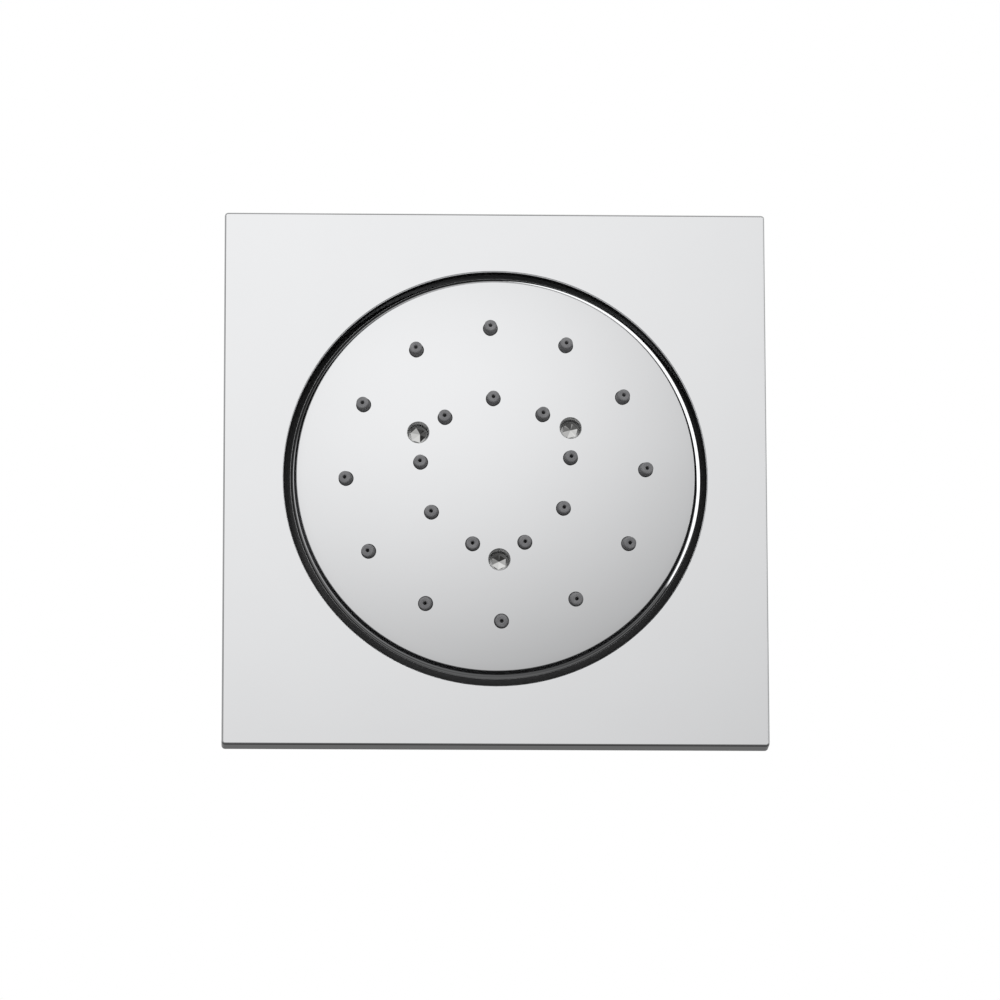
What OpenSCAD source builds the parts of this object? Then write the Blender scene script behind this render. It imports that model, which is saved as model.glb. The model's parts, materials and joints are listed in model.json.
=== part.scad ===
// Adjustable shower head for flush mounting in a wall. A round spray face with rubber
// nozzles sits in the round opening of a square cover plate, and swivels on a hollow
// brass ball that also carries the water. A round housing behind the plate holds it all.
//
// Every piece is drawn along its own axis: z = 0 is the face of the wall, +z comes out of
// the wall and +y is up. facing() then turns the whole part so that it looks along -Y.

/* [Cover plate] */
// Width and height of the square plate
plate_w = 125; // [112:1:145]
// How far the face of the plate stands off the wall
plate_depth = 6; // [5.5:0.5:8]
// Thickness of the plate's front wall
plate_t = 1.8; // [1.4:0.1:2.2]
// Thickness of the rim that turns back to the wall
rim_t = 1.6; // [1.2:0.1:2.2]
// Corner rounding, seen from the front
corner_r = 0.8; // [0.5:0.1:2]
// Rounding of the front edges
edge_r = 0.8; // [0.4:0.1:1.2]
// Rounding of the edge of the round opening
opening_edge_r = 0.5; // [0.3:0.1:0.8]
// Depth of the collar around the opening, from the plate's face
lip_h = 2.6; // [2.2:0.1:3.2]
// Thickness of that collar
lip_t = 1.6; // [1.2:0.1:2.2]
// Clearance between the opening and the space that the tilting face sweeps
face_gap = 0.7; // [0.4:0.1:1.5]

/* [Spray face] */
// Radius of the face over its rounded edge
face_r = 45.7; // [42:0.1:51]
// How far the edge of the face stands out of the plate
face_proud = 2.2; // [1:0.1:4]
// Radius of the shallow dome of the face
dome_r = 370; // [300:10:600]
// Wall thickness of the face
face_t = 1.6; // [1.2:0.1:2]
// Thickness of the face's side wall at its thinnest
face_wall = 1.5; // [1:0.1:2]
// Rounding of the edge of the face
face_edge_r = 0.9; // [0.5:0.1:1.4]
// How far the side wall flares out to its bead
flare = 1.2; // [0.8:0.1:2]
// Height of the flared side wall
flare_h = 3; // [2.4:0.1:4]
// Radius of the small bead at the foot of the side wall
bead_r = 0.35; // [0.2:0.05:0.5]
// Height of the side wall behind the bead
tail_h = 1.5; // [1:0.1:2]
// Turn of the face at rest, anticlockwise from the front
face_turn = 2; // [-15:1:15]

/* [Nozzles] */
// Nozzles in the outer ring
outer_count = 12; // [8:1:14]
// Radius of the outer ring
outer_ring_r = 34.35; // [31:0.05:37]
// Nozzles in the inner ring
inner_count = 9; // [6:3:9]
// Radius of the inner ring
inner_ring_r = 17.45; // [16.5:0.05:18.5]
// Radius of a nozzle at its foot
nozzle_r = 1.65; // [1.4:0.05:1.9]
// Radius of a nozzle at its tip
nozzle_tip_r = 1.25; // [1:0.05:1.35]
// How far a nozzle stands out of the face
nozzle_h = 1.9; // [1.4:0.1:3]
// Radius of the jet hole
jet_r = 0.4; // [0.3:0.05:0.6]
// Radius of the water way inside a nozzle
nozzle_bore_r = 0.85; // [0.7:0.05:0.95]
// Clearance around a nozzle in the face
nozzle_gap = 0.1; // [0.05:0.05:0.2]
// Distance behind the face from which the nozzles splay
splay_focus = 165; // [130:5:400]
// Thickness of the rubber mat that carries the nozzles
mat_t = 1.2; // [1:0.1:1.5]

/* [Water chamber] */
// Clearance of the mat and the distributor inside the face
insert_gap = 0.1; // [0.05:0.05:0.2]
// Thickness of the distributor at its edge
distributor_t = 1.4; // [1.2:0.1:2]
// Radius of the distributor's water holes
feed_r = 1.3; // [1:0.1:1.6]
// Radius of the cone that spreads the water
spreader_r = 6; // [4:0.5:8]
// Height of that cone
spreader_h = 1.6; // [1:0.1:2.4]
// Height of the chamber
chamber_h = 3.4; // [3:0.1:5]
// Thickness of the shell's floor
shell_floor_t = 2.6; // [2:0.1:3.4]
// Thickness of the shell's rim
shell_rim_t = 3.5; // [3.2:0.1:4.5]
// Radius of the chamber seal's section
chamber_seal_r = 0.9; // [0.7:0.05:1]
// Step from the bead in to the shell's ball-shaped skirt
skirt_step = 1; // [0.8:0.1:1.6]
// Thickness of that skirt
skirt_t = 1.8; // [1.4:0.1:2.4]
// Length of that skirt
skirt_h = 11.7; // [10:0.1:14]

/* [Face screws] */
// Number of screws
screw_count = 3; // [3:1:3]
// Radius of the ring that they stand on
screw_ring_r = 20.2; // [19.8:0.1:21]
// Radius of the pocket in the face
pocket_r = 2.4; // [2.2:0.05:2.6]
// Depth of that pocket
pocket_depth = 3.6; // [3:0.1:3.8]
// Wall and floor of that pocket
pocket_t = 1; // [0.8:0.05:1.1]
// Radius of the screw's head
screw_head_r = 2.15; // [2:0.05:2.15]
// Height of the screw's head
screw_head_h = 1.9; // [1.6:0.1:2.4]
// Radius of the screw's shank
screw_r = 1.45; // [1.2:0.05:1.5]
// Length of the screw under its head
screw_len = 6.4; // [5:0.1:7]
// Width across the flats of the hexagon socket
socket_af = 2; // [1.5:0.1:2.4]
// Clearance of the screws and of the pockets
screw_gap = 0.1; // [0.05:0.05:0.15]
// Radius of the section of the seals around the screw bosses
screw_seal_r = 0.55; // [0.4:0.05:0.6]

/* [Ball swivel] */
// Depth of the ball's centre behind the wall's face
ball_depth = 18; // [17:0.5:22]
// Radius of the ball
ball_r = 11; // [10:0.1:12]
// Radius of the water way through the ball and its stem
bore_r = 4.2; // [3.4:0.1:4.4]
// Radius of the neck behind the ball
neck_r = 6; // [5.4:0.1:6]
// Length of the neck, from the ball's centre
neck_len = 16; // [15.5:0.5:20]
// Running clearance between the ball and its seats, and outside them
swivel_gap = 0.1; // [0.06:0.02:0.1]
// Thickness of the seats between the ball and the cup
seat_t = 1.95; // [1.7:0.05:2.2]
// Length of the rear seat
rear_seat_len = 6.5; // [5:0.1:6.6]
// Distance of the rear seat behind the ball's centre
rear_seat_start = 1.5; // [1.5:0.1:2]
// Front end of the front seat, ahead of the ball's centre
front_seat_end = 10.2; // [9.6:0.1:10.6]
// Radius of the water way through the front seat and the cup
cup_bore_r = 6.5; // [5.8:0.1:7]
// Radius of the ball seal's section
ball_seal_r = 1; // [0.9:0.05:1]
// Height of the spring washer
spring_h = 1.7; // [1.4:0.1:2]
// Thickness of the spring washer's metal
spring_t = 0.5; // [0.3:0.05:0.6]
// Thickness of the cup's front wall
cup_front_t = 3; // [2.6:0.1:4]
// Thickness of the cup's wall inside the shell's hub
cup_wall = 3; // [2.6:0.1:4]
// Height of the cup's shoulder behind the shell's hub
nut_thread_step = 1; // [0.6:0.1:1.4]
// Length of the cup inside the shell's hub
hub_len = 9.8; // [8:0.1:10.4]
// Wall of the shell's hub
hub_t = 3.5; // [3:0.1:4.5]
// Width across the flats of the retaining nut
nut_af = 37; // [36:0.5:40]
// Rear end of the retaining nut, behind the ball's centre
nut_end = 11; // [10.5:0.1:12]
// Radius of the cup seal's section
cup_seal_r = 0.9; // [0.7:0.05:1]
// Clearance of threads and seats within one assembly
fit_gap = 0.05; // [0.03:0.01:0.1]

/* [Inlet] */
// Width across the flats of the hexagon on the ball's stem
stem_af = 22; // [20:0.5:24]
// Height of that hexagon
stem_hex_h = 6; // [4:0.5:8]
// Radius of the stem's thread
stem_r = 8.3; // [8:0.05:8.8]
// Length of the stem's thread
stem_len = 11.6; // [10:0.1:13]
// Radius of the stem seal's section
stem_seal_r = 1; // [0.8:0.05:1.2]
// Radius of the body's threaded shank, which the lock nut clamps
shank_r = 13; // [12.5:0.1:14]
// Width across the flats of the body's hexagon and of the lock nut
body_af = 36; // [34:0.5:38]
// Height of the body's hexagon
body_hex_h = 5; // [4:0.5:8]
// Thickness of the gasket under that hexagon
gasket_t = 1.2; // [0.8:0.1:2]
// Outer radius of that gasket
gasket_r = 17; // [16:0.5:17]
// Height of the lock nut
lock_nut_h = 5; // [4:0.1:6]
// Radius of the barrel around the inlet thread
barrel_r = 13.5; // [12.8:0.1:15]
// Wall radius of the G 1/2 inlet thread
inlet_r = 9.3; // [9.3:0.1:9.3]
// Depth of the inlet thread
inlet_len = 13; // [12:0.5:18]
// Thickness of the inlet screen
screen_t = 1; // [0.8:0.1:1.4]
// Step from the inlet thread in to the inlet screen's seat
screen_step = 0.4; // [0.3:0.05:0.45]
// Width of the inlet screen's rim
screen_rim = 1.6; // [1.2:0.1:2]
// Radius of one of the screen's holes
screen_hole_r = 0.55; // [0.4:0.05:0.6]
// Spacing of the screen's holes
screen_pitch = 1.8; // [1.7:0.05:2.4]
// Radius of the flow regulator
regulator_r = 6.2; // [5.8:0.05:6.4]
// Length of the flow regulator
regulator_len = 5; // [4:0.5:6]
// Number of the flow regulator's slots
regulator_slots = 6; // [4:1:8]
// Radius of the section of the regulator's seal
regulator_seal_r = 0.6; // [0.5:0.05:0.7]

/* [Housing] */
// Clearance between the skirt and the housing
housing_gap = 2.2; // [1:0.1:2.6]
// Wall thickness of the housing
housing_t = 2; // [1.6:0.1:2.4]
// Inner radius of the housing's narrow rear part
rear_r = 30; // [28:0.5:38]
// Height of the cone between the wide part and the rear part
cone_h = 8; // [6:0.5:10]
// Thickness of the housing's floor
housing_floor_t = 3; // [2.4:0.1:4]
// Thickness of the housing's flange on the wall
flange_t = 1.8; // [1.5:0.1:2.2]
// Clearance from the flange to the plate's rim
flange_gap = 2.4; // [2.2:0.1:2.8]
// Corner rounding of the flange
flange_corner_r = 3; // [2:0.5:5]
// Distance of the wall screws' holes from the flange's edge
hole_inset = 8; // [6.5:0.5:9]
// Radius of the wall screws' holes
hole_r = 2.2; // [1.8:0.1:2.6]

/* [Plate springs] */
// Thickness of the spring strip
strip_t = 0.4; // [0.3:0.05:0.5]
// Length of a spring along the plate's side
strip_len = 14; // [10:1:20]
// Distance of a spring from the middle of that side, where the flange is wide
spring_at = 36; // [34:0.5:38]
// Width of the spring's foot on the flange
strip_foot = 4; // [3.6:0.1:4]
// How far the catch stands in from the plate's rim
catch_in = 0.8; // [0.5:0.1:1]
// Height of the foam seal inside the rim
foam_h = 0.8; // [0.6:0.1:1]
// Width of that foam seal
foam_w = 1.8; // [1.2:0.1:2]

/* [Hidden] */
$fn = 96;
tiny = 0.01;
fine = 48;
ball_fn = 128;
dome_fn = 256;
arc_steps = 8;

// Heights of the cover plate
lip_z = plate_depth - lip_h;
pocket_top_z = plate_depth - plate_t;

// The face: its edge, its dome and the bead at the foot of its side wall
edge_z = plate_depth + face_proud;
dome_z = edge_z - sqrt(pow(dome_r, 2) - pow(face_r, 2));
round_r = face_r - face_edge_r;
round_z = dome_z + sqrt(pow(dome_r - face_edge_r, 2) - pow(round_r, 2));
dome_lean = asin(round_r / (dome_r - face_edge_r));
bead_out_r = face_r + flare;
bead_mid_r = bead_out_r - bead_r;
bead_z = edge_z - flare_h;
tail_z = bead_z - tail_h;
face_in_r = face_r - face_wall;
insert_r = face_in_r - insert_gap;
ball_z = -ball_depth;

// The ball of space that the face sweeps when it tilts, and what stays clear of it
sweep_r = max(norm([round_r, round_z - ball_z]) + face_edge_r,
              norm([bead_mid_r, bead_z - ball_z]) + bead_r);
opening_r = sqrt(pow(sweep_r + face_gap, 2) - pow(lip_z - ball_z, 2));
skirt_r = norm([bead_out_r, bead_z - ball_z]) - skirt_step;
housing_r = skirt_r + housing_gap;
wide_end_z = ball_z - housing_gap;
cone_end_z = wide_end_z - cone_h;
shoulder_r = sqrt(pow(skirt_r, 2) - pow(tail_z - ball_z, 2));
tail_r = shoulder_r - 0.3;

// Layers of the head, from the face back to the shell's hub
function dome_at(r) = dome_z + sqrt(pow(dome_r, 2) - pow(r, 2));
mat_drop = face_t;
distributor_drop = face_t + mat_t;
distributor_back_z = dome_at(insert_r) - distributor_drop - distributor_t;
chamber_floor_z = distributor_back_z - chamber_h;
shell_back_z = chamber_floor_z - shell_floor_t;
shell_rim_in_r = insert_r - shell_rim_t;
chamber_seal_mid_r = insert_r - shell_rim_t / 2;
seal_groove_h = 2 * chamber_seal_r + fit_gap;
pocket_floor_z = dome_at(screw_ring_r) - pocket_depth;
pocket_back_z = pocket_floor_z - pocket_t;
pocket_out_r = pocket_r + pocket_t;
screw_seal_mid_r = pocket_out_r + fit_gap + screw_seal_r;

// The swivel, measured from the ball's centre
seat_in_r = ball_r + swivel_gap;
seat_out_r = seat_in_r + seat_t - swivel_gap;
cup_in_r = seat_out_r + swivel_gap;
rear_seat_stop = rear_seat_start + rear_seat_len;
ball_seal_mid_r = cup_in_r - swivel_gap - ball_seal_r;
ball_seal_at = sqrt(pow(ball_r + swivel_gap + ball_seal_r, 2) - pow(ball_seal_mid_r, 2));
front_seat_start = ball_seal_at + ball_seal_r + fit_gap;
cup_front_in = front_seat_end + spring_h + fit_gap;
cup_front = cup_front_in + cup_front_t;
cup_back = -1;
cup_out_r = cup_in_r + cup_wall;
nut_thread_r = cup_out_r - nut_thread_step;
hub_back = cup_front - hub_len;
nut_front = hub_back - 0.4;
nut_mouth = 8.7;
nut_mouth_r = sqrt(pow(cup_in_r, 2) - pow(nut_mouth, 2));
nut_flare = 2.2;
hub_r = cup_out_r + fit_gap + hub_t;

// Heights of the inlet, from the stem's hexagon back to the barrel's mouth
stem_hex_z = ball_z - neck_len - stem_hex_h;
body_front_z = stem_hex_z - fit_gap;
stem_end_z = stem_hex_z - stem_len;
seal_seat_h = 2 * stem_seal_r + fit_gap;
housing_floor_z = body_front_z - 3.8;
housing_back_z = housing_floor_z - housing_floor_t;
body_hex_z = housing_back_z - gasket_t;
screen_z = min(stem_end_z - 0.8, body_hex_z - body_hex_h + 1);
screen_seat_r = inlet_r - screen_step;
inlet_mouth_z = screen_z - screen_t - inlet_len;

// The flange, the springs on it and the foam seal around it
rim_in = plate_w / 2 - rim_t;
flange_w = 2 * (rim_in - flange_gap);
hole_at = flange_w / 2 - hole_inset;
catch_top_z = foam_h + 0.4;
stake_r = 0.8;
stake_at = flange_w / 2 - strip_foot / 2 - 0.1;
stake_y = strip_len / 4;

silver = [0.86, 0.87, 0.89];
brass = [0.78, 0.62, 0.32];
steel = [0.68, 0.69, 0.70];
black = [0.10, 0.10, 0.11];
grey = [0.55, 0.56, 0.57];
white = [0.90, 0.90, 0.88];
rubber = [0.16, 0.16, 0.17];
silicone = [0.38, 0.38, 0.39];

// Shared shapes

// Turn a piece drawn along its axis so that it looks along -Y, with +Z up
module facing() {
    rotate([90, 0, 0]) children();
}

module turned(points) {
    rotate_extrude() polygon(points);
}

module tube(r, hole, z0, z1) {
    difference() {
        translate([0, 0, z0]) cylinder(r = r, h = z1 - z0);
        translate([0, 0, z0 - 1]) cylinder(r = hole, h = z1 - z0 + 2);
    }
}

module disc(r, z0, z1) {
    translate([0, 0, z0]) cylinder(r = r, h = z1 - z0);
}

module hexagon(af, z0, z1) {
    translate([0, 0, z0]) cylinder(d = af / cos(30), h = z1 - z0, $fn = 6);
}

module ring_seal(mid_r, section_r, z) {
    translate([0, 0, z]) rotate_extrude() translate([mid_r, 0]) circle(r = section_r, $fn = fine);
}

// Points of an arc in the plane of a section
function arc(cx, cy, r, from, to, steps = arc_steps) =
    [for (i = [0:steps]) [cx + r * cos(from + (to - from) * i / steps),
                          cy + r * sin(from + (to - from) * i / steps)]];

function rounded_square(w, r) = concat(
    arc(w / 2 - r, w / 2 - r, r, 0, 90), arc(r - w / 2, w / 2 - r, r, 90, 180),
    arc(r - w / 2, r - w / 2, r, 180, 270), arc(w / 2 - r, r - w / 2, r, 270, 360));

module square_block(w, r, z0, z1) {
    translate([0, 0, z0]) linear_extrude(z1 - z0) polygon(rounded_square(w, r));
}

// Places around the face: angle 0 is at the right and 90 at the top
module on_ring(count, r, first = 90) {
    for (i = [0:count - 1]) rotate(first + face_turn + i * 360 / count) translate([r, 0, 0]) children();
}

module at_screws() {
    on_ring(screw_count, screw_ring_r, 30) children();
}

// Put a shape on each nozzle's own splayed axis, with z = 0 at the face's surface
module at_nozzles() {
    on_ring(outer_count, outer_ring_r) lean_out(outer_ring_r) children();
    on_ring(inner_count, inner_ring_r) lean_out(inner_ring_r) children();
}

module lean_out(r) {
    translate([0, 0, dome_at(r)]) rotate([0, atan(r / splay_focus), 0]) children();
}

// The space under the face's dome, lowered by a drop
module under_dome(r, drop, z0) {
    intersection() {
        disc(r, z0, dome_z + dome_r + 1);
        translate([0, 0, dome_z - drop]) sphere(r = dome_r, $fn = dome_fn);
    }
}

// Cover plate and housing

module edge_section() {
    polygon(concat([[-plate_w / 2, 0], [plate_w / 2, 0]],
                   arc(plate_w / 2 - edge_r, plate_depth - edge_r, edge_r, 0, 90),
                   arc(edge_r - plate_w / 2, plate_depth - edge_r, edge_r, 90, 180)));
}

module rounded_along_y() {
    translate([0, plate_w, 0]) rotate([90, 0, 0]) linear_extrude(2 * plate_w) edge_section();
}

// Each side of the plate has one spring and one catch, all shifted the same way round
module at_springs() {
    for (a = [0:90:270]) rotate(a) translate([0, spring_at, 0]) children();
}

module catch_ridge() {
    translate([rim_in - catch_in, strip_len / 2, 0]) rotate([90, 0, 0]) linear_extrude(strip_len)
        polygon([[0, catch_top_z], [catch_in + tiny, catch_top_z],
                 [catch_in + tiny, foam_h + fit_gap], [0, catch_top_z - 0.1]]);
}

module cover_plate() {
    color(silver) facing() {
        difference() {
            intersection() {
                square_block(plate_w, corner_r, 0, plate_depth);
                rounded_along_y();
                rotate(90) rounded_along_y();
            }
            difference() {
                square_block(2 * rim_in, corner_r, -1, pocket_top_z);
                disc(opening_r + lip_t, lip_z, plate_depth);
            }
            disc(opening_r, -1, plate_depth + 1);
            turned(concat([[opening_r - 1, plate_depth + 1], [opening_r - 1, plate_depth - opening_edge_r]],
                          arc(opening_r + opening_edge_r, plate_depth - opening_edge_r, opening_edge_r,
                              180, 90),
                          [[opening_r + opening_edge_r, plate_depth + 1]]));
        }
        at_springs() catch_ridge();
    }
}

module plate_seal() {
    color(rubber) facing() difference() {
        square_block(2 * (rim_in - fit_gap), corner_r, 0, foam_h);
        square_block(2 * (rim_in - fit_gap - foam_w), corner_r, -1, foam_h + 1);
    }
}

// One leaf spring: its foot lies on the flange, and its leg leans out over the plate's catch
module leaf_spring() {
    foot_x = flange_w / 2 - strip_foot - 0.1;
    tip_x = rim_in - fit_gap - 0.2;
    tip_z = catch_top_z + 0.1;
    bend_x = flange_w / 2 + 0.2;
    difference() {
        translate([0, strip_len / 2, 0]) rotate([90, 0, 0]) linear_extrude(strip_len)
            polygon([[foot_x, flange_t], [bend_x, flange_t], [tip_x - strip_t, tip_z], [tip_x, tip_z],
                     [bend_x + strip_t, flange_t + strip_t], [foot_x, flange_t + strip_t]]);
        for (y = [-stake_y, stake_y]) translate([stake_at, y, flange_t - 1])
            cylinder(r = stake_r + fit_gap, h = 3, $fn = fine);
    }
}

module plate_springs() {
    color(steel) facing() at_springs() leaf_spring();
}

// The bowl stays behind the wall's face: wide around the head, then a cone and a narrow rear part
module bowl(r, narrow_r, cone_drop, z0, z1) {
    turned([[0, z0], [narrow_r, z0], [narrow_r, cone_end_z - cone_drop], [r, wide_end_z - cone_drop],
            [r, z1], [0, z1]]);
}

module housing() {
    color(grey) facing() {
        difference() {
            union() {
                square_block(flange_w, flange_corner_r, 0, flange_t);
                bowl(housing_r + housing_t, rear_r + housing_t, housing_t, housing_back_z, 0);
            }
            bowl(housing_r, rear_r, 0, housing_floor_z, flange_t + 1);
            disc(shank_r + 0.2, housing_back_z - 1, housing_floor_z + 1);
            for (x = [-hole_at, hole_at], y = [-hole_at, hole_at])
                translate([x, y, -1]) cylinder(r = hole_r, h = flange_t + 2);
        }
        at_springs() for (y = [-stake_y, stake_y]) translate([stake_at, y, flange_t - tiny])
            cylinder(r = stake_r, h = strip_t + 0.5, $fn = fine);
    }
}

// Inlet

module inlet_body() {
    color(brass) facing() difference() {
        union() {
            disc(shank_r, body_hex_z, body_front_z);
            hexagon(body_af, body_hex_z - body_hex_h, body_hex_z);
            disc(barrel_r, inlet_mouth_z, body_hex_z);
        }
        disc(stem_r + 2 * stem_seal_r + 2 * fit_gap, body_front_z - seal_seat_h, body_front_z + 1);
        disc(stem_r + fit_gap, screen_z - 1, body_front_z + 1);
        disc(screen_seat_r, inlet_mouth_z - 1, screen_z);
        disc(inlet_r, inlet_mouth_z - 1, screen_z - screen_t);
    }
}

module body_gasket() {
    color(rubber) facing() tube(gasket_r, shank_r + 0.2, body_hex_z, housing_back_z);
}

module lock_nut() {
    color(brass) facing() difference() {
        hexagon(body_af, housing_floor_z, housing_floor_z + lock_nut_h);
        disc(shank_r + fit_gap, housing_floor_z - 1, housing_floor_z + lock_nut_h + 1);
    }
}

// Punched screen in a rim, against the step at the bottom of the inlet thread
module inlet_screen() {
    mesh_r = screen_seat_r - fit_gap - screen_rim - screen_hole_r;
    rows = floor(mesh_r / screen_pitch) + 1;
    color(steel) facing() difference() {
        disc(screen_seat_r - fit_gap, screen_z - screen_t, screen_z);
        for (i = [-rows:rows], j = [-rows:rows]) {
            x = (i + j / 2) * screen_pitch;
            y = j * sin(60) * screen_pitch;
            if (norm([x, y]) <= mesh_r)
                translate([x, y, screen_z - screen_t - 1]) cylinder(r = screen_hole_r, h = screen_t + 2, $fn = 16);
        }
    }
}

// Flow regulator at the rear end of the stem, with a seal in a groove around it
module flow_regulator() {
    groove_z = stem_end_z + regulator_len / 2;
    slot_at = regulator_r - 2 * regulator_seal_r - 1.4;
    color(white) facing() difference() {
        disc(regulator_r, stem_end_z, stem_end_z + regulator_len);
        turned([[regulator_r - 2 * regulator_seal_r - 0.1 + swivel_gap, groove_z - regulator_seal_r - fit_gap],
                [regulator_r + 1, groove_z - regulator_seal_r - fit_gap],
                [regulator_r + 1, groove_z + regulator_seal_r + fit_gap],
                [regulator_r - 2 * regulator_seal_r - 0.1 + swivel_gap, groove_z + regulator_seal_r + fit_gap]]);
        for (i = [0:regulator_slots - 1]) rotate(i * 360 / regulator_slots)
            translate([slot_at, 0, stem_end_z - 1]) cylinder(r = 0.9, h = regulator_len + 2, $fn = 24);
    }
}

module regulator_seal() {
    color(rubber) facing()
        ring_seal(regulator_r - regulator_seal_r + fit_gap, regulator_seal_r, stem_end_z + regulator_len / 2);
}

module stem_seal() {
    color(rubber) facing()
        ring_seal(stem_r + stem_seal_r + fit_gap, stem_seal_r, body_front_z - stem_seal_r - fit_gap);
}

// Hollow ball with its neck, a hexagon for the spanner and a threaded end
module ball_stem() {
    color(silver) facing() difference() {
        union() {
            intersection() {
                translate([0, 0, ball_z]) sphere(r = ball_r, $fn = ball_fn);
                disc(ball_r + 1, ball_z - ball_r, ball_z + ball_r - 1.5);
            }
            disc(neck_r, ball_z - neck_len - 1, ball_z - ball_r / 2);
            hexagon(stem_af, stem_hex_z, ball_z - neck_len);
            disc(stem_r, stem_end_z, stem_hex_z + 1);
        }
        disc(bore_r, stem_end_z - 1, ball_z + ball_r + 1);
        disc(regulator_r + 2 * fit_gap, stem_end_z - 1, stem_end_z + regulator_len + fit_gap);
    }
}

// Swivel

// Floating seat behind the ball: it slides on the ball and in the nut's bowl
module rear_seat() {
    color(white) facing() difference() {
        intersection() {
            translate([0, 0, ball_z]) sphere(r = seat_out_r, $fn = ball_fn);
            disc(seat_out_r + 1, ball_z - rear_seat_stop, ball_z - rear_seat_start);
        }
        translate([0, 0, ball_z]) sphere(r = seat_in_r, $fn = ball_fn);
    }
}

// Seat in front of the ball: it slides on the ball and turns in the cup
module front_seat() {
    color(white) facing() difference() {
        disc(seat_out_r, ball_z + front_seat_start, ball_z + front_seat_end);
        translate([0, 0, ball_z]) sphere(r = seat_in_r, $fn = ball_fn);
        disc(cup_bore_r, ball_z, ball_z + front_seat_end + 1);
    }
}

module ball_seal() {
    color(rubber) facing() ring_seal(ball_seal_mid_r, ball_seal_r, ball_z + ball_seal_at);
}

// Coned washer that presses the front seat onto the ball
module spring_washer() {
    out_r = seat_out_r - 0.3;
    in_r = cup_bore_r + 1.2;
    low = ball_z + front_seat_end + swivel_gap;
    high = ball_z + cup_front_in;
    color(steel) facing()
        turned([[out_r, low], [out_r, low + spring_t], [in_r, high], [in_r, high - spring_t]]);
}

module swivel_cup() {
    seal_r = cup_bore_r + 2.2 + cup_seal_r;
    groove_h = 2 * cup_seal_r + fit_gap;
    color(brass) facing() difference() {
        union() {
            disc(cup_out_r, ball_z + hub_back, ball_z + cup_front);
            disc(nut_thread_r, ball_z + cup_back, ball_z + hub_back + 1);
        }
        disc(cup_in_r, ball_z + cup_back - 1, ball_z + cup_front_in);
        disc(cup_bore_r, ball_z, ball_z + cup_front + 1);
        tube(seal_r + cup_seal_r + fit_gap, seal_r - cup_seal_r - fit_gap,
             ball_z + cup_front - groove_h, ball_z + cup_front + 1);
    }
}

module cup_seal() {
    color(rubber) facing()
        ring_seal(cup_bore_r + 2.2 + cup_seal_r, cup_seal_r, ball_z + cup_front - cup_seal_r - fit_gap / 2);
}

// Hexagon nut with a bowl for the rear seat and a flared mouth for the neck
module retaining_nut() {
    color(brass) facing() difference() {
        hexagon(nut_af, ball_z - nut_end, ball_z + nut_front);
        translate([0, 0, ball_z]) sphere(r = cup_in_r, $fn = ball_fn);
        disc(nut_thread_r + fit_gap, ball_z + cup_back - fit_gap, ball_z + nut_front + 1);
        turned([[0, ball_z - nut_mouth + tiny], [nut_mouth_r, ball_z - nut_mouth + tiny],
                [nut_mouth_r + nut_flare, ball_z - nut_end - tiny], [0, ball_z - nut_end - tiny]]);
    }
}

// Head

// Rear shell: chamber floor and rim, the ball-shaped skirt around it and the hub for the cup
module head_shell() {
    skirt_end_z = tail_z - skirt_h;
    skirt_in_r = skirt_r - skirt_t;
    function lean(r, z) = asin((z - ball_z) / r);
    color(black) facing() difference() {
        union() {
            turned(concat([[cup_bore_r, chamber_floor_z], [shell_rim_in_r, chamber_floor_z],
                           [shell_rim_in_r, distributor_back_z], [insert_r, distributor_back_z],
                           [insert_r, tail_z]],
                          arc(0, ball_z, skirt_r, lean(skirt_r, tail_z), lean(skirt_r, skirt_end_z)),
                          arc(0, ball_z, skirt_in_r, lean(skirt_in_r, skirt_end_z),
                              lean(skirt_in_r, shell_back_z)),
                          [[hub_r, shell_back_z], [hub_r, ball_z + hub_back],
                           [cup_out_r + fit_gap, ball_z + hub_back],
                           [cup_out_r + fit_gap, ball_z + cup_front], [cup_bore_r, ball_z + cup_front]]));
            at_screws() disc(pocket_out_r, chamber_floor_z - 1, pocket_back_z);
        }
        tube(chamber_seal_mid_r + chamber_seal_r + fit_gap, chamber_seal_mid_r - chamber_seal_r - fit_gap,
             distributor_back_z - seal_groove_h, distributor_back_z + 1);
        at_screws() disc(screw_r + fit_gap, pocket_floor_z - screw_len - 0.3, pocket_back_z + 1);
    }
}

module chamber_seal() {
    color(rubber) facing()
        ring_seal(chamber_seal_mid_r, chamber_seal_r, distributor_back_z - chamber_seal_r - fit_gap / 2);
}

// Domed plate that feeds each nozzle, with a cone at its back to spread the water
module distributor() {
    color(white) facing() difference() {
        union() {
            under_dome(insert_r, distributor_drop, distributor_back_z);
            translate([0, 0, distributor_back_z - spreader_h])
                cylinder(r1 = spreader_r / 4, r2 = spreader_r, h = spreader_h + tiny);
        }
        at_nozzles() disc(feed_r, -20, 1, $fn = fine);
        at_screws() {
            disc(pocket_out_r + screw_gap, distributor_back_z - 1, edge_z + 5);
            disc(screw_seal_mid_r + screw_seal_r + fit_gap, distributor_back_z - 1,
                 distributor_back_z + 2 * screw_seal_r + fit_gap);
        }
    }
}

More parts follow.
